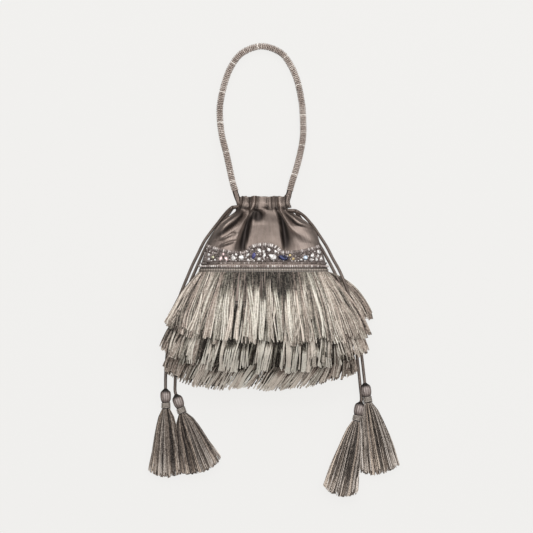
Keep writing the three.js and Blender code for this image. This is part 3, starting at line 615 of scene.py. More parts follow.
lining_angles = ring_turns(LINING_COLUMNS)
lining_levels = down_the_bag(LINING_LEVELS)
lining_skin = pouch_skin(lining_angles, lining_levels, -LINING_IN)
lining_skin[..., 2] = np.maximum(lining_skin[..., 2], LINING_FLOOR)
lining_cloth = material("lining", lining_surface)
lining_piece = bag("lining_cloth", lining_skin, lining_angles, lining_levels, lining_cloth)
thicken(lining_piece, LINING_WALL)
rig.ride(lining_piece, "root")
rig.replaces(lining_piece, "lining")
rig.slot(lining_piece, "lining")

# Drawstrings: two tubes of bias-cut satin. Each runs once round the neck in its casing, and its two
# ends come out of the slot on its own side and lie loosely down beside the bag to their tassels.
CORD_DIAMETER = 3.2 * MM
CORD_IN = 4.2 * MM  # middle of a cord inside the face of the satin
CORD_SIDES = 12
CORD_STEP = 1.6 * MM
CORD_ROUTES = {
    "left_outer": [
        (-35.5, 9.6, 18.8), (-40.2, 5.6, 15.6), (-44.8, 0.4, 12.4), (-49.9, -6.2, 10.2), (-55.2, -12.8, 8.2),
        (-60, -19.2, 6.8), (-64.5, -25.6, 5.8), (-68, -32.2, 5.2), (-71.1, -38.6, 5), (-77.2, -51, 5.2),
        (-82.5, -63.4, 5.8), (-87.5, -75.5, 6.2), (-93.5, -92, 6.2), (-98.8, -112, 5.8), (-102.8, -134, 4.8),
        (-104.8, -154, 3.6), (-105.5, -169, 4.2), (-105.5, -181.7, 5.9)],
    "left_inner": [
        (-34.8, 9, 13), (-38, 4.4, 10.6), (-42, -0.8, 9), (-47.3, -7.4, 7.6), (-52.4, -14.4, 6.4),
        (-57.2, -21.4, 5.4), (-61.2, -28.2, 4.8), (-64.6, -35, 4.6), (-67.6, -41.6, 4.6), (-72.6, -53, 5),
        (-77.8, -65, 5.8), (-82.6, -77, 6.2), (-88, -93, 6.2), (-92.4, -113, 5.8), (-94.6, -135, 4.8),
        (-95, -155, 3.6), (-95.4, -173, 4.2), (-95.5, -183.4, 5.7), (-94.4, -187.5, 5.9)],
    "right_upper": [
        (31.2, 6, 18.8), (36.4, 3, 15.8), (41.4, -1, 12.8), (46.4, -6.6, 10.8), (51, -12.4, 9.2),
        (55.2, -18.6, 8), (59.4, -24.9, 7.2), (63.4, -31.2, 6.6), (66.8, -37.6, 6.4), (70, -44, 6.4),
        (76.8, -56.2, 7.2), (82.2, -68.8, 8.6), (86.4, -81, 8.2), (90.6, -97, 7.2), (95.8, -115, 6.4),
        (99, -135, 5.4), (101.2, -152, 4.4), (102.8, -166, 4.6), (103.8, -175.6, 5.9)],
    "right_lower": [
        (31, 5, 13), (34, 1.2, 10.8), (37.4, -3.6, 9.4), (42, -9.2, 8), (46.4, -15, 6.8),
        (50.8, -21.4, 6), (55, -28, 5.4), (59, -34.6, 5.2), (62.8, -41.4, 5.4), (66.6, -48.2, 5.8),
        (72.6, -60, 8.2), (78, -71.6, 9.6), (82, -83.4, 8.4), (85.8, -98.6, 7.2), (90.4, -117, 6.4),
        (94.2, -137, 5.4), (96.8, -157, 4.4), (99.2, -180, 4.6), (100.2, -191.2, 5.8), (99.7, -195.1, 5.9)],
}


def run_along(points):
    """Length along each line of points, from its start."""
    gaps = np.linalg.norm(np.diff(points, axis=-2), axis=-1)
    return np.concatenate([np.zeros((*gaps.shape[:-1], 1)), np.cumsum(gaps, axis=-1)], axis=-1)


def smooth_route(points, step):
    """Evenly spaced points on a smooth line through the given ones."""
    points = np.asarray(points, float)
    for _ in range(2):
        run = run_along(points)
        points = hermite(run, points, np.linspace(0, run[-1], max(4, round(run[-1] / step) + 1)))
    return points


def route_frames(points):
    """Directions along a route, and two across it that do not twist."""
    along = unit(np.gradient(points, axis=0))
    side = np.cross(along[0], (0.0, 0.0, 1.0))
    sides = []
    for direction in along:
        side = unit(side - direction * np.dot(side, direction))
        sides.append(side)
    sides = np.array(sides)
    return along, sides, np.cross(sides, along)


def tube_faces(rows, columns):
    """Faces of a tube over rows of rings, closed at both ends."""
    cap = np.arange(columns)
    return [grid_faces(rows, columns, True), cap[None], (cap + (rows - 1) * columns)[None, ::-1]]


def tube(name, points, radius, sides, made_of):
    """A round cord along a route. Its cloth is the way round it and the length along it."""
    _, side, top = route_frames(points)
    turn = ring_turns(sides)
    ring = side[:, None] * np.cos(turn)[:, None] + top[:, None] * np.sin(turn)[:, None]
    uv = np.stack(np.meshgrid(turn * radius, run_along(points)), axis=-1)
    return mesh_object(name, points[:, None] + ring * radius, tube_faces(len(points), sides), made_of, uv=uv)


def cord_surface(ink):
    where = ink.place()
    bias = ink.wave(ink.cloth(), 420.0, 0.8, "DIAGONAL")
    cloud = ink.noise(where, 70.0, 3.0)
    colour = (cloud * 0.6 + bias * 0.4).ramp((0.25, srgb(68, 57, 50)), (0.8, srgb(116, 103, 95)))
    normal = ink.bump(bias * 0.5 + ink.noise(where, 260.0) * 0.5, 0.35, 0.0005)
    return ink.finish(colour, 0.4, {"Metallic": 0.3, "Normal": normal})


cord_satin = material("cord", cord_surface)
cord_paths = {name: smooth_route(np.array(route) * MM, CORD_STEP) for name, route in CORD_ROUTES.items()}
cord_pieces = {}
for name, path in cord_paths.items():
    node = "drawstring_left" if name.startswith("left") else "drawstring_right"
    cord_pieces[name] = tube(f"cord_{name}", path, CORD_DIAMETER / 2, CORD_SIDES, cord_satin)
    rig.ride(cord_pieces[name], "root")
    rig.replaces(cord_pieces[name], node)
    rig.slot(cord_pieces[name], "cord")

LOOP_SIDES = 10
LOOP_STEP = 2.5 * MM
LOOP_TURN = np.radians(np.linspace(30, 330, 60))  # round the casing from the slot
LOOPS = {  # angle of the slot, way round, and the two tails that the loop joins
    "left": (math.pi, -1, "left_outer", "left_inner"),
    "right": (0.0, 1, "right_upper", "right_lower"),
}
for side, (slot_angle, way, first_tail, last_tail) in LOOPS.items():
    loop = pouch_point(slot_angle + way * LOOP_TURN, LOOP_Y[side], -CORD_IN)
    loop = np.vstack([cord_paths[first_tail][:1], loop, cord_paths[last_tail][:1]])
    loop = smooth_route(loop, LOOP_STEP)
    loop_piece = tube(f"cord_loop_{side}", loop, CORD_DIAMETER / 2, LOOP_SIDES, cord_satin)
    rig.ride(loop_piece, "root")
    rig.replaces(loop_piece, f"drawstring_{side}")
    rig.slot(loop_piece, "cord")

# Jewelled band: a shaped strip of beadwork under the yoke. Short bugle beads edge its scalloped top,
# and seed beads fill the ground between the stones.
BAND_FOOT_Y = -47.6 * MM
BAND_EDGE = math.radians(14)
BAND_OUT = 1.2 * MM  # face of the band over the satin
BAND_WALL = 0.9 * MM
BAND_ROWS = 14
BAND_COLUMNS = 121
FRONT = math.pi / 2  # angles of the middle of the pouch's two faces
BACK = -math.pi / 2
SCALLOP = {
    "low": -37.5 * MM, "arch_half": 17 * MM, "arch_rise": 8.5 * MM,
    "wing_start": 26 * MM, "wing_end": 60 * MM, "wing_rise": 7 * MM, "wing_curve": 1.6,
}
BUGLE = {"length": 3.4 * MM, "radius": 0.72 * MM, "pitch": 1.75 * MM, "under_edge": 0.4 * MM}
BUGLE_SKEW = 0.08
BUGLE_TONES = (0.2, 1.0)
WING_DARKER = 0.28
dice = np.random.default_rng(7)


def scallop(x):
    """Top edge of the band: an arch in the middle, and wings that rise to the sides."""
    off = np.abs(x - CENTRE_X)
    arch = np.sqrt(np.maximum(0, 1 - (off / SCALLOP["arch_half"]) ** 2))
    wing_width = SCALLOP["wing_end"] - SCALLOP["wing_start"]
    wing = np.maximum(0, (off - SCALLOP["wing_start"]) / wing_width) ** SCALLOP["wing_curve"]
    return SCALLOP["low"] + SCALLOP["arch_rise"] * arch + SCALLOP["wing_rise"] * wing


def arc_across(facing, edge, count):
    """Angles across the pouch's front or back, from one edge to the other."""
    return facing + np.linspace(1, -1, count) * (math.pi / 2 - edge)


def front_angle(x, y):
    """Angle of the point of the front that stands over x."""
    share = np.clip((x - CENTRE_X) / hermite(POUCH_Y, POUCH, y)[..., 0], -1, 1)
    return np.arccos(np.sign(share) * np.abs(share) ** (SECTION_POWER / 2))


def seat(x, y, out, turn_step=0.01, slide_step=0.5 * MM):
    """A place on the front over x and y, and the directions across, up along and out of the front."""
    angle = front_angle(x, y)
    point = pouch_point(angle, y, out)
    across = unit(pouch_point(angle - turn_step, y, out) - pouch_point(angle + turn_step, y, out))
    upward = pouch_point(angle, y + slide_step, out) - pouch_point(angle, y - slide_step, out)
    outward = unit(np.cross(across, upward))
    return point, across, np.cross(outward, across), outward


def shape_of(make, **settings):
    """Vertices and faces of a shape that an operator makes."""
    bpy.ops.object.select_all(action="DESELECT")
    make(**settings)
    made = bpy.context.object
    vertices = np.array([vertex.co for vertex in made.data.vertices])
    faces = [list(polygon.vertices) for polygon in made.data.polygons]
    bpy.data.objects.remove(made)
    return vertices, faces


def scatter(name, shape, places, axes, made_of, tone, smooth=True):
    """One mesh of many copies of a shape. Axes are its X, Y and Z at each place, with their lengths."""
    vertices, faces = shape
    points = places[:, None] + np.einsum("va,nac->nvc", vertices, axes)
    starts = np.arange(len(places))[:, None] * len(vertices)
    groups = []
    for size in sorted({len(face) for face in faces}):
        group = np.array([face for face in faces if len(face) == size])
        groups.append((starts[:, :, None] + group[None]).reshape(-1, size))
    return mesh_object(name, points, groups, made_of, tone=np.repeat(tone, len(vertices)), smooth=smooth)


def bead_surface(dark, middle, middle_sheen, roughness=0.22):
    """Glass beads with a lustre, which differ from bead to bead by their tone."""
    def surface(ink):
        tone = ink.value("tone")
        shade = tone + (ink.noise(ink.place(), 900.0) - 0.5) * 0.25
        colour = shade.ramp((0.05, dark), (0.5, middle), (0.95, middle_sheen))
        return ink.finish(colour, roughness + 0.1 * tone, {"Metallic": 0.25})
    return surface


def band_surface(ink):
    where = ink.place()
    stitches = ink.wave(where, 420.0, 4.0)
    cloud = ink.noise(where, 240.0, 3.0)
    colour = (stitches * 0.5 + cloud * 0.5).ramp((0.2, srgb(70, 60, 57)), (0.8, srgb(132, 120, 114)))
    return ink.finish(colour, 0.5, {"Metallic": 0.1, "Normal": ink.bump(stitches, 0.6, 0.0006)})


band_angles = arc_across(FRONT, BAND_EDGE, BAND_COLUMNS)
band_tops = scallop(pouch_point(band_angles, SCALLOP["low"])[:, 0])
band_y = np.linspace(band_tops, BAND_FOOT_Y, BAND_ROWS)
band_points = pouch_point(band_angles, band_y, BAND_OUT)
band_faces = [grid_faces(BAND_ROWS, BAND_COLUMNS, False)]
band_piece = mesh_object("band_ground", band_points, band_faces, material("band", band_surface))
thicken(band_piece, BAND_WALL)
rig.ride(band_piece, "root")
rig.replaces(band_piece, "embroidered_band")
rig.slot(band_piece, "band")

BEAD = shape_of(bpy.ops.mesh.primitive_uv_sphere_add, segments=8, ring_count=5, radius=1.0)
TUBE_BEAD = shape_of(bpy.ops.mesh.primitive_cylinder_add, vertices=8, radius=1.0, depth=2.0)
silver_beads = material("beads", bead_surface(srgb(70, 60, 57), srgb(152, 140, 135), srgb(232, 226, 222)))
edge_line = np.stack([pouch_point(band_angles, band_tops)[:, 0], band_tops], axis=-1)
edge_run = run_along(edge_line)
edge_at = np.arange(0, edge_run[-1], BUGLE["pitch"])
edge_x = np.interp(edge_at, edge_run, edge_line[:, 0])
edge_y = np.interp(edge_at, edge_run, edge_line[:, 1])
edge_slope = np.arctan2(np.gradient(edge_y), np.gradient(edge_x)) + dice.normal(0, BUGLE_SKEW, len(edge_at))
point, across, upward, outward = seat(edge_x, edge_y - BUGLE["under_edge"], BAND_OUT + BUGLE["radius"])
lengthwise = upward * np.cos(edge_slope)[:, None] - across * np.sin(edge_slope)[:, None]
crosswise = np.cross(outward, lengthwise)
bugle_axes = np.stack([
    crosswise * BUGLE["radius"], outward * BUGLE["radius"], lengthwise * BUGLE["length"] / 2,
], axis=1)
on_wing = smoothstep(np.abs(edge_x - CENTRE_X), SCALLOP["arch_half"], SCALLOP["wing_start"])
bugle_tone = dice.uniform(*BUGLE_TONES, len(point)) * (1 - WING_DARKER * on_wing)
bugle_piece = scatter("scallop_bugles", TUBE_BEAD, point, bugle_axes, silver_beads, bugle_tone)
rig.ride(bugle_piece, "root")
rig.replaces(bugle_piece, "scallop_bead_line")
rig.slot(bugle_piece, "beads")

# Stones: faceted crystals glued into the band, most of them clear or faintly pink, with a few deep blue
# ones between them. Each has a foil back and its edges cut to small facets, and its facets are painted at
# random between dark reflection and glint, over their real reflections.
FACET = 0.28 * MM  # width of the facet cut along each edge
FLAT_WITHIN = math.radians(4)
# Deep and bright colours of each kind of stone: its facets' painted dark reflections and glints
STONE_LOOKS = {
    "crystal_clear": (srgb(140, 133, 130), srgb(252, 250, 247)),
    "crystal_pink": (srgb(150, 116, 114), srgb(246, 224, 222)),
    "crystal_olive": (srgb(112, 106, 84), srgb(226, 222, 194)),
    "crystal_indigo": (srgb(24, 24, 50), srgb(104, 104, 158)),
    "crystal_navy": (srgb(10, 11, 22), srgb(66, 72, 110)),
    "crystal_gold": (srgb(128, 102, 58), srgb(226, 206, 158)),
    "crystal_ice": (srgb(112, 128, 150), srgb(222, 232, 242)),
}


def crystal_surface(deep, bright):
    """Foil-backed glass: each facet takes a random brightness, painted between dark reflection and glint."""
    def surface(ink):
        facing = {"Vector": ink.add("ShaderNodeNewGeometry", out="True Normal")}
        sparkle = ink.add("ShaderNodeTexWhiteNoise", {"noise_dimensions": "3D"}, facing, out="Value")
        shade = sparkle * 0.75 + ink.noise(ink.place(), 700.0) * 0.25
        colour = shade.ramp((0.15, deep), (0.8, bright))
        return ink.finish(colour, 0.18, {"Metallic": 0.3, "Coat Weight": 0.25})
    return surface


slots = {row["node"]: row["material_slot"] for row in frame["record"]["subparts"]}
crystals = {name: material(name, crystal_surface(*looks)) for name, looks in STONE_LOOKS.items()}
stone_middles = []
for node, place in frame["nodes"].items():
    if not node.startswith("stone_"):
        continue
    gem = place.copy()
    gem.data = place.data.copy()
    gem.name = f"gem_{node[6:]}"
    scene.collection.objects.link(gem)
    gem.parent = None
    gem.data.materials.clear()
    gem.data.materials.append(crystals[slots[node]])
    bpy.ops.object.select_all(action="DESELECT")
    gem.select_set(True)
    bpy.context.view_layer.objects.active = gem
    bpy.ops.object.mode_set(mode="EDIT")
    bpy.ops.mesh.select_all(action="SELECT")
    bpy.ops.mesh.remove_doubles(threshold=1e-6)
    bpy.ops.mesh.dissolve_limited(angle_limit=FLAT_WITHIN)
    bpy.ops.mesh.bevel(offset=FACET, segments=1, affect="EDGES")
    bpy.ops.object.mode_set(mode="OBJECT")
    bpy.ops.object.shade_flat()
    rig.ride(gem, "root")
    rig.replaces(gem, node)
    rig.slot(gem, slots[node])
    stone_middles.append(np.array([vertex.co for vertex in gem.data.vertices]).mean(axis=0))
stone_middles = np.array(stone_middles)

# Seed beads: small silver beads fill the band's ground between the stones and the bugles. They are sewn on
# one by one, in crooked rows.
SEED_RADIUS = 0.72 * MM
SEED_SIZES = (0.85, 1.1)
SEED_FLAT = 0.9  # height of a bead out of the band
SEED_TONE = {"spread": (0.8, 1.1), "darker": 1.5}
SEED_OUT = BAND_OUT + 0.4 * MM
SEED_ROWS = np.arange(BAND_FOOT_Y + 1.0 * MM, -27 * MM, 1.62 * MM)
SEED_COLUMNS = np.arange(-62 * MM, 57 * MM, 1.66 * MM)
CROOKED = {"row": 0.5 * MM, "across": 0.16 * MM, "along": 0.18 * MM}
EDGE_CLEAR = 2.0 * MM
STONE_CLEAR = 2.1 * MM
ground = []
for y in SEED_ROWS:
    row = SEED_COLUMNS + dice.uniform(-CROOKED["row"], CROOKED["row"])
    row += dice.normal(0, CROOKED["across"], len(row))
    heights = y + dice.normal(0, CROOKED["along"], len(row))
    under_edge = heights < scallop(row) - EDGE_CLEAR
    ground += list(zip(row[under_edge], heights[under_edge]))
ground = np.array(ground)
to_stone = np.linalg.norm(ground[:, None] - stone_middles[None, :, :2], axis=2).min(axis=1)
ground = ground[to_stone > STONE_CLEAR]
point, across, upward, outward = seat(ground[:, 0], ground[:, 1], SEED_OUT)
size = SEED_RADIUS * dice.uniform(*SEED_SIZES, (len(ground), 1))
ground_axes = np.stack([across * size, upward * size, outward * size * SEED_FLAT], axis=1)
ground_tone = dice.beta(*SEED_TONE["spread"], len(ground)) ** SEED_TONE["darker"]
ground_piece = scatter("band_seed_beads", BEAD, point, ground_axes, silver_beads, ground_tone)
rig.ride(ground_piece, "root")
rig.slot(ground_piece, "beads")

# Small stones: flat-backed clear crystals, sewn to the band between the larger ones. Each is a round with
# its edge cut to eight facets.
SMALL_STONES = MM * np.array([  # place across, place along and radius
    (-51.5, -45.5, 1.3), (-30.1, -39.9, 1.6), (-18.1, -45.4, 1.5), (-2.4, -36.7, 1.5), (9.5, -36.8, 1.8),
    (35.7, -45.4, 1.4), (45.9, -45.4, 1.9), (51, -45.2, 1.8), (52.5, -41.3, 1.5),
])
SMALL_STONE_OUT = BAND_OUT + 0.9 * MM
FLAT_STONE = shape_of(bpy.ops.mesh.primitive_cone_add, vertices=8, radius1=1.0, radius2=0.55, depth=0.8)
point, across, upward, outward = seat(SMALL_STONES[:, 0], SMALL_STONES[:, 1], SMALL_STONE_OUT)
stone_axes = np.stack([across, upward, outward], axis=1) * SMALL_STONES[:, 2, None, None]
small_piece = scatter(
    "band_small_stones", FLAT_STONE, point, stone_axes, crystals["crystal_clear"], np.ones(len(point)),
    smooth=False,
)
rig.ride(small_piece, "root")
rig.slot(small_piece, "crystal_clear")

# Bead rows: a thin and a thick string of silver beads, couched over the seam between yoke and fringe, and
# one more over the seam of the back.
ROW_EDGE = math.radians(8)
ROW_POINTS = 400
ROW_OUT = 0.3 * MM  # of the beads over the satin
ROW_PITCH = 0.86  # of a bead's diameter
ROW_SIZES = (0.93, 1.05)
ROW_FLAT = 0.66  # length of a bead along its string
ROW_UNEVEN = 0.2  # from bead to bead, in tone
BEAD_ROWS = {  # place along the bag, diameter, side and tone
    "upper": (-49.0 * MM, 1.7 * MM, FRONT, 0.3),
    "lower": (-52.2 * MM, 2.7 * MM, FRONT, 0.6),
    "back": (-52.2 * MM, 1.7 * MM, BACK, 0.5),
}
for name, (y, diameter, facing, bright) in BEAD_ROWS.items():
    line = pouch_point(arc_across(facing, ROW_EDGE, ROW_POINTS), y, ROW_OUT + diameter / 2)
    line = smooth_route(line, diameter * ROW_PITCH)
    along, side, top = route_frames(line)
    size = diameter / 2 * dice.uniform(*ROW_SIZES, (len(line), 1))
    row_axes = np.stack([-side * size, top * size, along * size * ROW_FLAT], axis=1)
    row_tone = np.clip(bright + dice.normal(0, ROW_UNEVEN, len(line)), 0, 1)
    row_piece = scatter(f"beads_{name}", BEAD, line, row_axes, silver_beads, row_tone)
    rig.ride(row_piece, "root")
    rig.replaces(row_piece, f"bead_row_{name}")
    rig.slot(row_piece, "beads")

# Fringe: three tiers of flat silk strips on a stitched tape, on the front and on the back. The strips
# hang in clumps that part towards the hem, and fan out over the table at the sides.
STRIP_DOWN = np.linspace(0, 1, 13)  # shares of a strip's length at which it has a point
STRIP_PITCH = 0.0042  # of half the fringe's width, for each millimetre of strip
SIDE_CROWD = 1.25  # above 1 the clumps hang closer together at the sides
ROOT_DROP = 2.6 * MM  # of the strips' roots under the top of the tape
FAN_CURVE = 1.3
CLUMP_FAN = 3.6  # degrees to which a clump's strips spread
CLUMP_ROUND = 14  # degrees by which its side strips tilt
CRINKLE = {"size": 1.0 * MM, "bends": 7, "starts": (0, 6.3)}
BOW_CURVE = 1.5
SWEPT_FROM = 0.5  # share of a strip's length
LOOSE = {"middle": 1.1, "side_less": 0.8}  # shares of a tier's loose lean that its clumps have
LONGEST = 1.012  # reach of the longest clump over that of its tier
RIBBON = 0.16 * MM  # thickness
STRIP_WIDTHS = (0.8, 1.1)
ROOT_WIDTH = 0.6  # share of its width and of its tilt that a strip has at its root
ROOT_TILT = 0.3
FULL_WIDTH_AT = 0.6
SIDE_WARMTH = {"curve": 1.5, "hue": 0.7, "stray": (-0.4, 0.8)}
STRIP_SHIFT = 13.7 * MM  # from the cloth of one strip to that of the next, so that no two look alike
TAPE_HEIGHT = 3.2 * MM
TAPE_LIP = 1.7 * MM  # above the tape's stitches
TAPE_OUT = 1.2 * MM
TAPE_WALL = 0.6 * MM
TAPE_COLUMNS = 90
TAPE_RIBS = MM * np.array([-0.3, -0.3, 0.2, 0.5, 0.2, -0.2, 0.2, -0.1])  # from the top of the tape down
# Tone of those rows: dark at the top as a painted shadow under what lies above the tape, paler on the raised ribs as
# painted highlight, and darker in the grooves as painted shade
TAPE_ROW_LIGHT = np.array([0.05, 0.1, 0.35, 0.62, 0.45, 0.12, 0.3, 0.15])
# Painted light on each strip: one long edge paler as a highlight and the other darker as shade, and a share of it on
# the edges of dark strips too
EDGE_LIGHT_AND_SHADE = 0.17  # by which one long edge of a strip is paler than its middle, and the other darker
EDGE_GLEAM = 0.4  # share of that which a dark strip has too
# Top of a tier's tape, and for its front and back: reach at the middle, left and right, fan at the left
# and right, and lift of the hem on the front or layer over the table on the back
FRINGES = {
    "upper": {"top": -55.4, "front": (77.5, 65, 80, 33, 33.5, 9.5), "back": (68, 56, 69, 20, 46.5, 0)},
    "middle": {"top": -90.0, "front": (72.5, 54, 58, 35.5, 36, 8.5), "back": (60, 52, 52, 14, 14, 1)},
    "lower": {"top": -122.0, "front": (58.5, 43, 44, 38, 29, 3.0), "back": (50, 42, 42, 8, 8, 2)},
}
# At five places from left to right, what a tier adds to the lean of its strips, in degrees, and how far
# its hem is swept to the left for each length of loose strip; how much more its side strips lean at their
# roots; how loosely its clumps lean; how much painted sheen pales it in the middle; how far down it the
# painted shade under the tier above reaches, over the lamp's real shadow; how well the painted shade of the
# slits between its strips is filled in the middle; and how warm its hue is
FIVE_PLACES = (-1, -0.5, 0, 0.5, 1)
STRAIGHT = (0, 0, 0, 0, 0)
TIER_LOOKS = {
    "upper": {
        "sway": (0, -2, 0, 1, 0), "swept": STRAIGHT, "bow": 8, "loose": 5.2,
        "middle_sheen": 0.31, "shade": -1.0, "filled": 0.7, "warm": 0.0,
    },
    "middle": {
        "sway": (0, -3, -2, -2, 0), "swept": (0, 0.1, 0.1, 0.1, 0), "bow": 18, "loose": 5.2,
        "middle_sheen": 0.76, "shade": 0.57, "filled": 0.0, "warm": 0.0,
    },
    "lower": {
        "sway": (2, -2, -5, -6, 0), "swept": (0, 0.3, 0.6, 0.65, 0.1), "bow": 22, "loose": 2.5,
        "middle_sheen": 0.6, "shade": 0.63, "filled": 0.0, "warm": 0.3,
    },
}
# The two faces: angle of the middle and of the edges; roots over the satin; tilt of the strips; looks that
# are the same in all its tiers; how far the pile of layers stands clear of what it lies on, its thickness
# at the roots and how much thicker it is at the hem, in millimetres; and layers from the lowest up: clumps,
# strips in each, width and tone, darker in the lower layers as painted shade between the strips
FACES = {
    "front": {
        "facing": FRONT, "edge": math.radians(9), "root_out": 0.6 * MM, "tilt": 1.0, "looks": {},
        "pile": {"clear": 0.8, "root": 1.6, "hem": 2.6},
        "layers": ((48, 3, 2.2, 0.08), (44, 4, 1.3, 0.46), (38, 4, 1.3, 0.60), (27, 4, 1.25, 0.68)),
    },
    "back": {
        "facing": BACK, "edge": math.radians(18), "root_out": 1.8 * MM, "tilt": 0.15,
        "looks": {"sway": STRAIGHT, "swept": STRAIGHT, "bow": 28, "loose": 2.0},
        "pile": {"clear": 0.3, "root": 1.2, "hem": 1.2},
        "layers": ((44, 3, 2.0, 0.2), (44, 4, 1.4, 0.55)),
    },
}
# How the lowest layer, which fills the gaps, and those on it differ: unevenness of the clumps, share of
# their loose lean, by how much they are shorter, and darker
LOWEST_LAYER = {"uneven": 0.12, "lean": 0.25, "shorter": 3.5, "darker": 0.0}
OTHER_LAYERS = {"uneven": 0.38, "lean": 1.0, "shorter": 0.0, "darker": 0.13}
# How far clumps and strips stray: a clump's reach, by share, and a strip's, in millimetres; bow and tilt of
# a clump, in degrees; its layer, by share; the curl of its hem; and the tone of a strip
STRAY = {
    "clump_reach": 0.075, "strip_reach": 1.0, "bow": 2.5, "tilt": 8, "layer": 0.15, "curl": 0.6 * MM,
    "tone": 0.15,
}
# Tones that clumps take over that of their layer, and that slits and roots keep under their painted shade,
# with the share of each
CLUMP_TONES = {0.7: 0.25, 0.95: 0.4, 1.1: 0.35}
SLIT_SHADES = {0.1: 0.24, 1.0: 0.76}
ROOT_SHADES = {0.75: 0.1, 1.0: 0.9}
# By share of a strip's length: where a slit of painted shade begins and how long it is, where the painted
# shade of the root ends, how the painted shade under the hem above strays, and how soft the edge of each is
SLIT = {"top": (-0.2, 0.8), "length": (0.15, 0.6), "soft": 0.05}
DARK_ROOT = {"end": (0.16, 0.42), "soft": 0.1, "half": 0.45}
# Painted shade under the hem of the tier above, over the lamp's real shadow
OVERHANG = {"shades": (0.3, 0.8, 1.0), "stray": (-0.06, 0.1), "soft": 0.09}
# Painted shade at a strip's root, under its own tape
TAPE_SHADE = {"tone": 0.7, "lighter": 0.3, "end": 0.12}  # at a strip's root, under its own tape
# Painted sheen: by how much it pales the lowest layer in the middle, and its half width
LOWEST_PALE = 0.8  # of a tier's filling, by which its lowest layer is paler in the middle
MIDDLE_HALF = 0.62  # half width of the pale middle of a tier, as DARK_ROOT's half is of its dark roots
CLUMP_CROWN = 0.5  # of a front clump's middle over its sides, in millimetres
# The back strips: thickness of a layer, in millimetres, the share by which it settles towards the hem and
# from where, and the share of their length at which they are down on the layer
BACK_LAY = {"layer": 3.2, "settled": 0.85, "settles_from": 0.62, "dropped_at": 0.33}
# The bed on which the front strips lie: place along the bag, half width, height at its edge and middle
BED_Y = MM * np.array([-187, -157, -140, -105, -53])
BED = MM * np.array([[120, 6, 12], [118, 10, 36.5], [116, 14, 50], [107, 21, 58], [67.5, 30, 54]])
BED_CURVE = (2.2, 0.6)  # powers of the section across it


def bed_height(x, y):
    """Height of the bed under the front strips, or of the pouch where that stands higher."""
    half, edge_height, top = np.moveaxis(hermite(BED_Y, BED, y), -1, 0)
    share = (1 - np.minimum(1, np.abs(x - CENTRE_X) / half) ** BED_CURVE[0]) ** BED_CURVE[1]
    bed = edge_height + (top - edge_height) * share
    pouch_half, back, front = np.moveaxis(hermite(POUCH_Y, POUCH, y), -1, 0)
    reach = np.minimum(1, np.abs(x - CENTRE_X) / pouch_half)
    over = (back + front) / 2 + (front - back) / 2 * (1 - reach**SECTION_POWER) ** (1 / SECTION_POWER)
    return np.maximum(bed, np.where((reach < 1) & (y > POUCH_Y[0]), over, 0))


def strip_frames(lines):
    """Directions across each of many strips and out of its face."""
    along = unit(np.gradient(lines, axis=1))
    across = unit(np.cross(along, (0.0, 0.0, 1.0)))
    return across, np.cross(across, along)


def ribbons(name, lines, across, rise, width, thickness, made_of, tone, hue):
    """Many flat strips in one mesh, each a closed box along its own line, with painted light on its edges."""
    count, rows = lines.shape[:2]
    a = across * width[..., None] / 2
    r = rise * thickness / 2
    corners = np.stack([lines + a + r, lines - a + r, lines - a - r, lines + a - r], axis=2)
    here = np.arange(count * rows * 4).reshape(count, rows, 4)
    after = np.roll(here, -1, axis=2)
    sides = np.stack([here[:, :-1], here[:, 1:], after[:, 1:], after[:, :-1]], axis=-1).reshape(-1, 4)
    u = np.broadcast_to(np.array([1.0, 0.0, 0.0, 1.0]), corners.shape[:3]) * width[..., None]
    # painted light: one long edge of each strip paler as highlight, the other darker as shade
    paler = dice.choice([-EDGE_LIGHT_AND_SHADE, EDGE_LIGHT_AND_SHADE], (count, 1, 1)) * np.array([1.0, -1.0, -1.0, 1.0])
    own = np.arange(count)[:, None, None] * STRIP_SHIFT
    uv = np.stack([u + own, np.broadcast_to(run_along(lines)[..., None], u.shape) + own], axis=-1)
    return mesh_object(
        name, corners, [sides, here[:, 0], here[:, -1, ::-1]], made_of, uv=uv, smooth=False,
        tone=tone[..., None] * (1 + paler) + EDGE_GLEAM * paler, hue=np.repeat(hue, rows * 4),
    )


def silk_surface(dark, cool, warm):
    """Floss silk: fine threads along each strip, with the strip's own tone, which carries painted shade and
    sheen, and its cooler or warmer hue.
    """
    def surface(ink):
        cloth = ink.cloth()
        threads = ink.wave(cloth, 900.0, 1.5)
        streaks = ink.noise(ink.stretch(cloth, 1.0, 0.1, 1.0), 800.0, 3.0)
        flecks = ink.noise(ink.place(), 520.0)
        shade = ink.value("tone") + (threads - 0.5) * 0.16 + (streaks - 0.5) * 1.1 + (flecks - 0.5) * 0.8
        body = shade.ramp((0.0, dark), (0.5, cool[0]), (1.0, cool[1]))
        tinted = shade.ramp((0.0, dark), (0.5, warm[0]), (1.0, warm[1]))
        colour = ink.mix(ink.value("hue"), body, tinted)
        normal = ink.bump(threads * 0.5 + streaks * 0.5, 0.5, 0.0003)
        others = {"Metallic": 0.1, "Specular IOR Level": 0.25, "Normal": normal}
        return ink.finish(colour, 0.42 + 0.1 * threads, others)
    return surface


silk = material("fringe", silk_surface(
    srgb(28, 23, 18), (srgb(138, 132, 120), srgb(220, 214, 202)), (srgb(147, 132, 121), srgb(214, 202, 189)),
))


def pick(shares, shape):
    """Random picks among values, given with the share of each."""
    return dice.choice(list(shares), shape, p=list(shares.values()))


def clump_places(clumps, level, uneven):
    """Places of clumps across a fringe, from -1 at its left edge to 1 at its right one."""
    even = (np.arange(clumps) + 0.5) / clumps * 2 - 1
    even = even + dice.normal(0, uneven / clumps, clumps)
    even = np.clip(even + (level % 2 - 0.5) / clumps, -1, 1)
    return np.sign(even) * (1 - (1 - np.abs(even)) ** SIDE_CROWD)


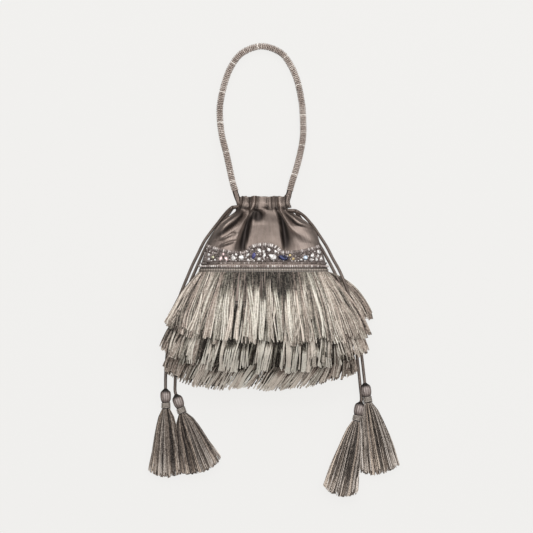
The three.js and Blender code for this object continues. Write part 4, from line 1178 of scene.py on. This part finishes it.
def strip_courses(tier, place, looks, play, clump_u, u):
    """Where each strip runs as seen from above, from its root under the tape, and its root's height."""
    clumps, strips = u.shape
    middle, left, right, fan_left, fan_right, _ = FRINGES[tier][place]
    face = FACES[place]
    angle = face["facing"] - np.sign(face["facing"]) * u * (math.pi / 2 - face["edge"])
    root = pouch_point(angle, FRINGES[tier]["top"] * MM - ROOT_DROP, face["root_out"])
    reach = middle + (np.where(u < 0, left, right) - middle) * u * u
    reach = reach * (LONGEST - np.abs(dice.normal(0, STRAY["clump_reach"], (clumps, 1))))
    reach = (reach - np.abs(dice.normal(0, STRAY["strip_reach"], u.shape)) - play["shorter"])[..., None] * MM
    fan = np.where(u < 0, fan_left, fan_right) * np.sign(u) * np.abs(u) ** FAN_CURVE
    sway = np.interp(clump_u, FIVE_PLACES, looks["sway"])
    loose = LOOSE["middle"] - LOOSE["side_less"] * np.abs(clump_u)
    sway += dice.normal(0, looks["loose"] * play["lean"], clumps) * loose
    clump_fan = np.linspace(-1, 1, strips) * dice.uniform(-CLUMP_FAN, CLUMP_FAN, (clumps, 1))
    lean = fan + sway[:, None] - clump_fan
    bow = looks["bow"] * np.sign(u) * np.abs(u) ** BOW_CURVE + dice.normal(0, STRAY["bow"], (clumps, 1))
    bend = np.radians(lean[..., None] + bow[..., None] * (1 - STRIP_DOWN))
    crinkle = dice.normal(0, CRINKLE["size"], (clumps, 1, 1)) * STRIP_DOWN
    starts = dice.uniform(*CRINKLE["starts"], (clumps, 1, 1))
    crinkle = crinkle * np.sin(CRINKLE["bends"] * STRIP_DOWN + starts)
    swept = np.interp(clump_u, FIVE_PLACES, looks["swept"])[:, None, None]
    swept = swept * np.maximum(0, STRIP_DOWN - SWEPT_FROM)
    x = root[..., 0, None] + reach * (STRIP_DOWN * np.sin(bend) - swept) + crinkle
    y = root[..., 1, None] - reach * STRIP_DOWN * np.cos(bend)
    return x, y, root[..., 2, None]


def strip_heights(tier, place, level, x, y, root_z):
    """Heights of the strips: over the bed on the front, and down to the table on the back."""
    clumps, strips = x.shape[:2]
    last = FRINGES[tier][place][-1]
    layer_share = level + 0.5 + dice.normal(0, STRAY["layer"], (clumps, 1, 1))
    layer_share = layer_share / len(FACES[place]["layers"])
    pile = FACES[place]["pile"]
    piled = (pile["root"] + pile["hem"] * STRIP_DOWN) * layer_share
    if place == "front":
        crown = (1 - np.linspace(-1, 1, strips)[:, None] ** 2) * CLUMP_CROWN * MM * STRIP_DOWN
        curl = dice.normal(0, STRAY["curl"], (clumps, 1, 1)) * STRIP_DOWN**3
        over_bed = pile["clear"] + last * STRIP_DOWN + piled
        return bed_height(x, y) + over_bed * MM + crown + curl
    settled = 1 - BACK_LAY["settled"] * smoothstep(STRIP_DOWN, BACK_LAY["settles_from"], 1)
    layer_height = last * BACK_LAY["layer"] * MM * settled
    drop = smoothstep(STRIP_DOWN, 0, BACK_LAY["dropped_at"])
    return root_z * (1 - drop) + layer_height * drop + (pile["clear"] + piled) * MM


def strip_tones(place, level, shaded_layer_tone, looks, play, clump_u, shape):
    """Tone down each strip: by clump and strip, with dark slits, and dark at the front's roots and hems."""
    clumps = shape[0]
    in_middle = bell(clump_u, MIDDLE_HALF)
    clump_tone = shaded_layer_tone * pick(CLUMP_TONES, clumps)
    if place == "front":
        # painted sheen pales the middle of a front tier
        paler = looks["filled"] * LOWEST_PALE if level == 0 else looks["middle_sheen"]
        clump_tone = clump_tone + paler * in_middle - play["darker"]
    # painted shade in the slits between strips, less of it in the middle of a filled tier
    slit = np.maximum(pick(SLIT_SHADES, shape), looks["filled"] * in_middle[:, None])[..., None]
    slit_top = dice.uniform(*SLIT["top"], (*shape, 1))
    slit_end = slit_top + dice.uniform(*SLIT["length"], (*shape, 1))
    in_slit = smoothstep(STRIP_DOWN, slit_top - SLIT["soft"], slit_top + SLIT["soft"])
    in_slit = in_slit * (1 - smoothstep(STRIP_DOWN, slit_end - SLIT["soft"], slit_end + SLIT["soft"]))
    strip_tone = clump_tone[:, None] + dice.normal(0, STRAY["tone"], shape)
    tone = strip_tone[..., None] * (1 - (1 - slit) * in_slit)
    if place == "front":
        # painted shade at the roots of the clumps in the middle
        end = dice.uniform(*DARK_ROOT["end"], (clumps, 1, 1))
        painted_root_shade = np.exp(-((clump_u / DARK_ROOT["half"]) ** 4))[:, None, None]
        past_root = smoothstep(STRIP_DOWN, end - DARK_ROOT["soft"], end + DARK_ROOT["soft"])
        painted_root_shade = painted_root_shade * (1 - past_root)
        painted_root_shade = painted_root_shade * pick(ROOT_SHADES, (clumps, 1, 1))
        # painted shade under the hem of the tier above, over the lamp's real shadow
        hem = looks["shade"] + dice.uniform(*OVERHANG["stray"], (clumps, 1, 1))
        lit = smoothstep(STRIP_DOWN, hem, hem + OVERHANG["soft"])
        shaded = dice.choice(OVERHANG["shades"], (clumps, 1, 1)) * (1 - lit)
        # painted shade at the root, under the strip's own tape
        past_tape = smoothstep(STRIP_DOWN, 0, TAPE_SHADE["end"])
        under_tape = TAPE_SHADE["tone"] + TAPE_SHADE["lighter"] * past_tape
        tone = tone * (1 - painted_root_shade) * (1 - shaded) * under_tape
    return tone.reshape(-1, len(STRIP_DOWN))


def fringe_layer(tier, place, level):
    """Lines, directions, widths, tones and hues of the strips in one layer of a fringe."""
    face = FACES[place]
    looks = {**TIER_LOOKS[tier], **face["looks"]}
    play = LOWEST_LAYER if level == 0 else OTHER_LAYERS
    clumps, strips, strip_width, shaded_layer_tone = face["layers"][level]
    spread = np.linspace(-1, 1, strips)
    clump_u = clump_places(clumps, level, play["uneven"])
    u = np.clip(clump_u[:, None] + spread * (strips - 1) * strip_width * STRIP_PITCH, -1, 1)
    x, y, root_z = strip_courses(tier, place, looks, play, clump_u, u)
    z = strip_heights(tier, place, level, x, y, root_z)
    lines = np.stack([x, y, z], axis=-1).reshape(-1, len(STRIP_DOWN), 3)
    across, rise = strip_frames(lines)
    tilt = np.repeat(dice.normal(0, STRAY["tilt"], clumps), strips) + np.tile(spread * CLUMP_ROUND, clumps)
    tilt = np.radians(tilt)
    tilt = tilt[:, None, None] * (ROOT_TILT + (1 - ROOT_TILT) * STRIP_DOWN)[:, None] * face["tilt"]
    across, rise = across * np.cos(tilt) - rise * np.sin(tilt), rise * np.cos(tilt) + across * np.sin(tilt)
    width = strip_width * MM * dice.uniform(*STRIP_WIDTHS, (len(lines), 1))
    width = width * (ROOT_WIDTH + (1 - ROOT_WIDTH) * smoothstep(STRIP_DOWN, 0, FULL_WIDTH_AT))
    tone = strip_tones(place, level, shaded_layer_tone, looks, play, clump_u, u.shape)
    warm = np.abs(clump_u) ** SIDE_WARMTH["curve"] * SIDE_WARMTH["hue"] + looks["warm"]
    hue = np.clip(warm + dice.uniform(*SIDE_WARMTH["stray"], clumps), 0, 1)
    return lines, across, rise, width, tone, np.repeat(hue, strips)


def tape_surface(ink):
    stitch = ink.wave(ink.place(), 120.0, 1.5)
    shade = ink.value("tone") * (0.45 + 0.55 * stitch)
    colour = shade.ramp((0.0, srgb(34, 28, 25)), (0.5, srgb(140, 129, 119)), (0.95, srgb(206, 198, 186)))
    return ink.finish(colour, 0.5, {"Normal": ink.bump(stitch, 0.6, 0.0005)})


tape_cloth = material("tape", tape_surface)


def header_tape(tier, place):
    """The ribbed tape from which a fringe hangs, sewn flat to the satin, with painted light on its rows."""
    face = FACES[place]
    top = FRINGES[tier]["top"] * MM
    rows = len(TAPE_RIBS)
    angles = arc_across(face["facing"], face["edge"], TAPE_COLUMNS)
    levels = np.linspace(top + TAPE_LIP, top - TAPE_HEIGHT, rows)[:, None]
    return mesh_object(
        f"tape_{place}_{tier}", pouch_point(angles, levels, TAPE_OUT + TAPE_RIBS[:, None]),
        [grid_faces(rows, TAPE_COLUMNS, False)], tape_cloth, tone=np.repeat(TAPE_ROW_LIGHT, TAPE_COLUMNS),
    )


for tier in FRINGES:
    for place, face in FACES.items():
        stack = [fringe_layer(tier, place, level) for level in range(len(face["layers"]))]
        lines, across, rise, width, tone, hue = (np.concatenate(parts) for parts in zip(*stack))
        fringe_piece = ribbons(f"silk_{place}_{tier}", lines, across, rise, width, RIBBON, silk, tone, hue)
        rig.ride(fringe_piece, "root")
        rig.replaces(fringe_piece, f"fringe_{place}_{tier}")
        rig.slot(fringe_piece, "fringe")

        tape_piece = header_tape(tier, place)
        thicken(tape_piece, TAPE_WALL)
        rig.ride(tape_piece, "root")
        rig.replaces(tape_piece, f"fringe_tape_{place}_{tier}")
        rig.slot(tape_piece, "tape")

# Tassels: each cord ends in a ball of silk threads, bound with a few turns of thread, over a skirt of
# loose threads that has fanned out on the table.
HEAD = {"radius": 5.4 * MM, "length": 13 * MM}
BINDING = {"radius": 4.4 * MM, "length": 6.6 * MM, "thread": 0.6 * MM, "turns": 4, "turn_points": 24}
AXIS_HEIGHT = 5.9 * MM
GAP = 0.3 * MM
HEAD_ROWS = 30
HEAD_COLUMNS = 64
HEAD_RIDGES = {"height": 0.035, "count": 16, "sway": 0.6, "sways": 3}  # height by the head's radius
BINDING_SIDES = 7
SKIRT_DOWN = np.linspace(0, 1, 9)  # shares of a thread's length at which it has a point
SKIRT_THICK = 4.0  # half the skirt's thickness at its top, in millimetres
SKIRT_TOP = 3.9  # half its width there
SKIRT_THINNER = 0.8  # by which the hem's half thickness is less
SKIRT_FLOOR = 0.4 * MM
# How the skirt lies: turn to which the threads of a clump spread, over the number of clumps; powers by which
# it fans out down its length and its inner layers reach less far; and share by which its side threads end
# sooner
SKIRT_LIE = {"spread": 1.6, "fan": 0.6, "inner": 0.3, "rounding": 0.09}
SKIRT_BENDS = 5.5
# Width of a thread: how it strays, and its shares at the top and added towards the hem
THREAD_WIDTH = {"stray": (0.75, 1.2), "top": 0.55, "hem": 0.45}
# Tone of a thread: how much darker the underside is, as painted shade, and the sine of the turn below
# which it begins; shares of the tone at the top and added down the skirt; and how much paler the tip is,
# and from where
THREAD_SHADE = {"under": 0.35, "below": -0.2, "top": 0.8, "down": 0.2, "tip": 0.3, "tip_from": 0.65}
THREAD = 0.25 * MM  # thickness
# How far threads stray: a clump's place round the skirt and its length, by share; a thread's length; the
# wave of a clump and the sway of a thread, in millimetres; and the tone of a thread
THREAD_STRAY = {"turn": 0.08, "clump_length": 0.04, "length": 0.02, "wave": 0.75, "sway": 0.5, "tone": 0.07}
THREAD_TONES = {0.15: 0.34, 0.8: 0.33, 1.2: 0.33}  # of a clump over its layer, with the share of each
# Rows of radius, place down the head and its neck, and tone, dark where the ball curves away at its top
# and at the neck, as painted shade
HEAD_PROFILE = np.array([
    [0.32, -0.06, 0], [0.5, 0.0, 0], [0.84, 0.09, 0.06], [0.97, 0.18, 0.5], [1, 0.3, 0.6],
    [0.95, 0.5, 0.56], [0.78, 0.64, 0.3], [0.72, 0.68, 0.0], [0.72, 1, 0.1],
])
TASSELS = {  # top of the head, lean, length of the skirt, half width and lift of its hem, and tone
    "left_outer": dict(x=-105.5, y=-182, lean=1.2, skirt=73, half=18.6, lift=0, tone=0.9),
    "left_inner": dict(x=-94.3, y=-188, lean=19, skirt=66, half=22, lift=2.5, tone=0.78),
    "right_upper": dict(x=103.8, y=-176, lean=9.5, skirt=77.5, half=22, lift=0, tone=1.18),
    "right_lower": dict(x=99.6, y=-195.6, lean=-13.4, skirt=82, half=18, lift=3.5, tone=1.5),
}
# Layers of a skirt from the inside out: share of its thickness, clumps, threads in each, width and tone,
# darker inside as painted shade
SKIRT_LAYERS = ((0.35, 26, 4, 1.6, 0.05), (0.75, 28, 4, 0.8, 0.3), (1.0, 36, 3, 0.7, 0.6))


def head_surface(ink):
    cloth = ink.cloth()
    threads = ink.wave(cloth, 0.6, 4.0)
    tufts = ink.noise(cloth, 3.4, 3.0)
    shade = ink.value("tone") * (0.5 * threads + 1.4 * tufts)
    colour = shade.ramp((0.0, srgb(30, 25, 22)), (0.5, srgb(116, 104, 99)), (0.95, srgb(180, 169, 163)))
    normal = ink.bump(threads * 0.6 + tufts * 0.4, 0.6, 0.0005)
    return ink.finish(colour, 0.45, {"Metallic": 0.1, "Normal": normal})


def binding_surface(ink):
    ply = ink.wave(ink.cloth(), 500.0, 0.5, "DIAGONAL")
    colour = ply.ramp((0.2, srgb(96, 87, 80)), (0.8, srgb(184, 174, 164)))
    return ink.finish(colour, 0.45, {"Metallic": 0.1, "Normal": ink.bump(ply, 0.5, 0.0004)})


head_silk = material("tassel_head", head_surface)
binding_silk = material("binding", binding_surface)
skirt_silk = material("tassel", silk_surface(
    srgb(30, 24, 20), (srgb(112, 104, 97), srgb(188, 180, 173)), (srgb(122, 107, 95), srgb(198, 182, 166)),
))


def hang(points, tassel):
    """Points of a tassel, turned by its lean and moved to the end of its cord."""
    lean = math.radians(tassel["lean"])
    cos, sin = math.cos(lean), math.sin(lean)
    turned = np.array([[cos, sin, 0], [-sin, cos, 0], [0, 0, 1]])
    return points @ turned + np.array([tassel["x"] * MM, tassel["y"] * MM, AXIS_HEIGHT])


def tassel_head(name, tassel):
    """The ridged ball of threads, and the neck under its binding."""
    turn = ring_turns(HEAD_COLUMNS)
    down = np.linspace(HEAD_PROFILE[0, 1], 1, HEAD_ROWS)
    profile, tone = np.moveaxis(hermite(HEAD_PROFILE[:, 1], HEAD_PROFILE[:, [0, 2]], down), -1, 0)
    swaying = HEAD_RIDGES["sway"] * np.sin(HEAD_RIDGES["sways"] * turn)
    ridges = 1 + HEAD_RIDGES["height"] * np.cos(HEAD_RIDGES["count"] * turn + swaying)
    radius = profile[:, None] * HEAD["radius"] * ridges
    drop = np.broadcast_to(-down[:, None] * (HEAD["length"] + BINDING["length"]), radius.shape)
    points = np.stack([radius * np.cos(turn), drop, radius * np.sin(turn)], axis=-1)
    faces = [face[:, ::-1] for face in tube_faces(HEAD_ROWS, HEAD_COLUMNS)]
    return mesh_object(
        f"head_{name}", hang(points, tassel), faces, head_silk,
        uv=np.stack(np.meshgrid(turn, down), axis=-1), tone=np.repeat(tone, HEAD_COLUMNS),
    )


def tassel_binding(name, tassel):
    """Turns of thread wound round the neck."""
    wind = np.linspace(0, 2 * math.pi * BINDING["turns"], BINDING["turn_points"] * BINDING["turns"])
    room = BINDING["length"] - 2 * BINDING["thread"]
    down = HEAD["length"] + GAP + BINDING["thread"] + room * wind / wind[-1]
    coil = np.stack([BINDING["radius"] * np.cos(wind), -down, BINDING["radius"] * np.sin(wind)], axis=-1)
    return tube(f"bound_{name}", hang(coil, tassel), BINDING["thread"], BINDING_SIDES, binding_silk)


def skirt_layer(share, clumps, threads, thread_width, shaded_layer_tone, tassel):
    """Lines, widths, tones and hues of the threads in one layer of a tassel's skirt."""
    clump_turn = ring_turns(clumps) + dice.normal(0, THREAD_STRAY["turn"], clumps)
    spread = np.linspace(-1, 1, threads) * SKIRT_LIE["spread"] / clumps
    turn = (clump_turn[:, None] + spread).ravel()[:, None]
    shorter = np.abs(dice.normal(0, THREAD_STRAY["clump_length"], clumps))
    lengths = tassel["skirt"] * MM * (1 - np.repeat(shorter, threads)[:, None])
    lengths = lengths * (1 - np.abs(dice.normal(0, THREAD_STRAY["length"], turn.shape)))
    half = SKIRT_TOP + (tassel["half"] - SKIRT_TOP) * SKIRT_DOWN ** SKIRT_LIE["fan"]
    wave = np.repeat(dice.normal(0, THREAD_STRAY["wave"], (clumps, 1)), threads, axis=0)
    phase = np.repeat(dice.uniform(0, 2 * math.pi, (clumps, 1)), threads, axis=0)
    sway = wave * SKIRT_DOWN * np.sin(SKIRT_BENDS * SKIRT_DOWN + phase)
    sway = sway + dice.normal(0, THREAD_STRAY["sway"], turn.shape) * SKIRT_DOWN**2
    x = (share ** SKIRT_LIE["inner"] * np.cos(turn) * half + sway) * MM
    z = share * np.sin(turn) * (SKIRT_THICK - SKIRT_THINNER * SKIRT_DOWN) * MM
    z = z + SKIRT_DOWN * (SKIRT_THICK * MM - AXIS_HEIGHT)
    rounding = 1 - SKIRT_LIE["rounding"] * (np.abs(x) / (tassel["half"] * MM)) ** 2
    y = -(HEAD["length"] + BINDING["length"] + GAP) - lengths * SKIRT_DOWN * rounding
    width = thread_width * MM * dice.uniform(*THREAD_WIDTH["stray"], turn.shape)
    width = width * (THREAD_WIDTH["top"] + THREAD_WIDTH["hem"] * SKIRT_DOWN)
    clump_tone = tassel["tone"] * shaded_layer_tone * pick(THREAD_TONES, clumps)
    tone = np.repeat(clump_tone, threads)[:, None] + dice.normal(0, THREAD_STRAY["tone"], turn.shape)
    # painted shade on the underside of the skirt
    tone = tone * (1 - THREAD_SHADE["under"] * (np.sin(turn) < THREAD_SHADE["below"]))
    tone = tone * (THREAD_SHADE["top"] + THREAD_SHADE["down"] * SKIRT_DOWN)
    tone = tone + THREAD_SHADE["tip"] * smoothstep(SKIRT_DOWN, THREAD_SHADE["tip_from"], 1)
    hue = np.repeat(dice.uniform(0, 1, clumps), threads)
    return np.stack([x, y, z], axis=-1), width, tone, hue


def tassel_skirt(name, tassel):
    """The loose threads, which lie on the table towards their ends."""
    stack = [skirt_layer(*layer, tassel) for layer in SKIRT_LAYERS]
    points, width, tone, hue = (np.concatenate(parts) for parts in zip(*stack))
    lines = hang(points, tassel)
    lines[..., 2] = np.maximum(lines[..., 2] + tassel["lift"] * MM * SKIRT_DOWN, SKIRT_FLOOR)
    across, rise = strip_frames(lines)
    return ribbons(f"skirt_{name}", lines, across, rise, width, THREAD, skirt_silk, tone, hue)


for name, tassel in TASSELS.items():
    head_piece = tassel_head(name, tassel)
    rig.ride(head_piece, "root")
    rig.replaces(head_piece, f"tassel_{name}_head")
    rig.slot(head_piece, "tassel")

    binding_piece = tassel_binding(name, tassel)
    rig.ride(binding_piece, "root")
    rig.replaces(binding_piece, f"tassel_{name}_binding")
    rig.slot(binding_piece, "binding")

    skirt_piece = tassel_skirt(name, tassel)
    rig.ride(skirt_piece, "root")
    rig.replaces(skirt_piece, f"tassel_{name}_skirt")
    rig.slot(skirt_piece, "tassel")

    path = cord_paths[name]
    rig.cord(
        cord_pieces[name], exit=path[0], length=float(run_along(path)[-1]), diameter=CORD_DIAMETER,
        far_end="fitting", stiffness="limp", lay="loose", path=path, with_pieces=[head_piece, binding_piece],
    )

# Handle: a twisted rope that carries the beads. It lies on the table in one arch beyond the mouth, and
# both its ends go down into the ruffle.
ROPE_RADIUS = 2.0 * MM
ROPE_STEP = 2.0 * MM
ROPE_SIDES = 12
HANDLE_ROUTE = MM * np.array([
    (-32.4, 27.5, 15), (-34.6, 34.1, 14.2), (-38.3, 50.9, 11.4), (-42, 67.7, 8.2), (-46.2, 84.5, 5.6),
    (-48.3, 101.3, 4.2), (-48.2, 118.1, 3.7), (-42.5, 143.3, 3.6), (-35.2, 160.1, 3.6),
    (-24.4, 172.4, 3.6), (-4.6, 179, 3.6), (15.2, 172.4, 3.6), (25.2, 160.1, 3.6), (32.6, 143.3, 3.6),
    (37.8, 118.1, 3.7), (38.9, 101.3, 4.2), (38.9, 84.5, 5.6), (36.2, 67.7, 8.2), (32, 50.9, 11.4),
    (26.8, 34.1, 14.2), (25.2, 27.5, 15),
])


def rope_surface(ink):
    ply = ink.wave(ink.cloth(), 260.0, 0.5, "DIAGONAL")
    colour = ply.ramp((0.2, srgb(84, 74, 67)), (0.8, srgb(128, 116, 108)))
    return ink.finish(colour, 0.6, {"Normal": ink.bump(ply, 0.6, 0.0006)})


handle_path = smooth_route(HANDLE_ROUTE, ROPE_STEP)
rope_piece = tube("handle_rope", handle_path, ROPE_RADIUS, ROPE_SIDES, material("rope", rope_surface))
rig.ride(rope_piece, "root")
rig.replaces(rope_piece, "handle_rope_core")
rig.slot(rope_piece, "rope")

# Bead sleeve: twelve seed beads a ring, woven round the rope one ring after another. Here and there a ring
# is paler than the rest.
BEAD_RING = {"radius": 2.75 * MM, "pitch": 1.9 * MM, "beads": 12}
BEAD_SIZES = (0.92 * MM, 1.06 * MM)
BEAD_SHAPE = (0.8, 0.84, 0.84)  # round the rope, out of it and along it
BEAD_SHIFT = 0.07 * MM
PALE_RING = {"every": 17, "first": 5, "paler": 0.4}
RING_TONE = {"middle": 0.5, "swing": 0.09, "turn": 0.23, "uneven": 0.06, "bead": 0.05}
ring_line = smooth_route(HANDLE_ROUTE, BEAD_RING["pitch"])
along, side, top = route_frames(ring_line)
turn = ring_turns(BEAD_RING["beads"]) + dice.uniform(0, 2 * math.pi, (len(ring_line), 1))
outward = side[:, None] * np.cos(turn)[..., None] + top[:, None] * np.sin(turn)[..., None]
axis = np.broadcast_to(along[:, None], outward.shape)
round_it = np.cross(outward, axis)
places = ring_line[:, None] + outward * BEAD_RING["radius"]
places = places + axis * dice.normal(0, BEAD_SHIFT, (*turn.shape, 1))
size = dice.uniform(*BEAD_SIZES, (*turn.shape, 1))
handle_axes = np.stack([
    direction * size * share for direction, share in zip((round_it, outward, axis), BEAD_SHAPE)
], axis=2)
ring = np.arange(len(ring_line))
ring_tone = RING_TONE["middle"] + RING_TONE["swing"] * np.sin(ring * RING_TONE["turn"])
ring_tone = ring_tone + dice.normal(0, RING_TONE["uneven"], len(ring))
ring_tone += PALE_RING["paler"] * (ring % PALE_RING["every"] == PALE_RING["first"])
bead_tone = np.clip(ring_tone[:, None] + dice.normal(0, RING_TONE["bead"], turn.shape), 0, 1)
handle_glass = material("handle_beads", bead_surface(
    srgb(112, 99, 91), srgb(166, 152, 143), srgb(226, 218, 210), roughness=0.4,
))
handle_piece = scatter(
    "handle_beadwork", BEAD, places.reshape(-1, 3), handle_axes.reshape(-1, 3, 3), handle_glass,
    bead_tone.ravel(),
)
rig.ride(handle_piece, "root")
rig.replaces(handle_piece, "handle_bead_sleeve")
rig.slot(handle_piece, "handle_beads")

# Tabs: below the beads the rope's satin cover, pressed flat and twisted, goes down into the ruffle at each
# side and is sewn inside the mouth.
TAB = {"half": 2.8 * MM, "ridge": 0.25 * MM, "flat": 0.62, "ridges": 5, "twist": 1.2, "step": 0.8 * MM}
TAB_SIDES = 20
TAB_CLOTH_ROUND = 0.002  # width of flat cloth for each radian round a tab
# Tone of a tab: paler on its ridges as painted highlight and darker between them as painted shade
TAB_RIDGE_LIGHT = {"middle": 0.8, "ridge": 0.2}
TABS = {
    "left": [(-32.2, 27.6, 15), (-31.8, 24.6, 15.6), (-29.6, 18, 17), (-27.6, 12.5, 17), (-24, 6, 16)],
    "right": [(25, 27.6, 15), (24.4, 24.6, 15.2), (21.6, 19, 15.6), (17.6, 13, 16), (17.6, 6, 16)],
}
for name, points in TABS.items():
    tab_path = smooth_route(np.array(points) * MM, TAB["step"])
    rows = len(tab_path)
    _, side, top = route_frames(tab_path)
    turn = ring_turns(TAB_SIDES)
    ridges = np.cos(TAB["ridges"] * (turn + np.linspace(0, TAB["twist"], rows)[:, None]))
    wide = TAB["half"] + TAB["ridge"] * ridges
    ring = side[:, None] * (np.cos(turn) * wide)[..., None]
    ring = ring + top[:, None] * (np.sin(turn) * wide * TAB["flat"])[..., None]
    tab_piece = mesh_object(
        f"tab_{name}", tab_path[:, None] + ring, tube_faces(rows, TAB_SIDES), satin,
        uv=np.stack(np.meshgrid(turn * TAB_CLOTH_ROUND, np.arange(rows) * TAB["step"]), axis=-1),
        tone=TAB_RIDGE_LIGHT["middle"] + TAB_RIDGE_LIGHT["ridge"] * ridges,
    )
    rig.ride(tab_piece, "root")
    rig.replaces(tab_piece, f"handle_tab_{name}")
    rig.slot(tab_piece, "satin")

# The rope and the cloth as soft goods, and the size of the bag as it is shown.
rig.cord(
    rope_piece, exit=handle_path[0], length=float(run_along(handle_path)[-1]),
    diameter=2 * ROPE_RADIUS, far_end="object", stiffness="medium", lay="loose", path=handle_path,
    with_pieces=[handle_piece],
)
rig.sheet(satin_piece, flat=(0.30, 0.19), held="gathered", rests_on=["lining"])
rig.sheet(lining_piece, flat=(0.29, 0.18), held="gathered", rests_on=["satin_body"])

low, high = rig.bounds()
sizes = {"cad": [list(cad_low), list(cad_high)], "shown": [list(low), list(high)]}
with open("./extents.json", "w") as out_file:
    json.dump(sizes, out_file)
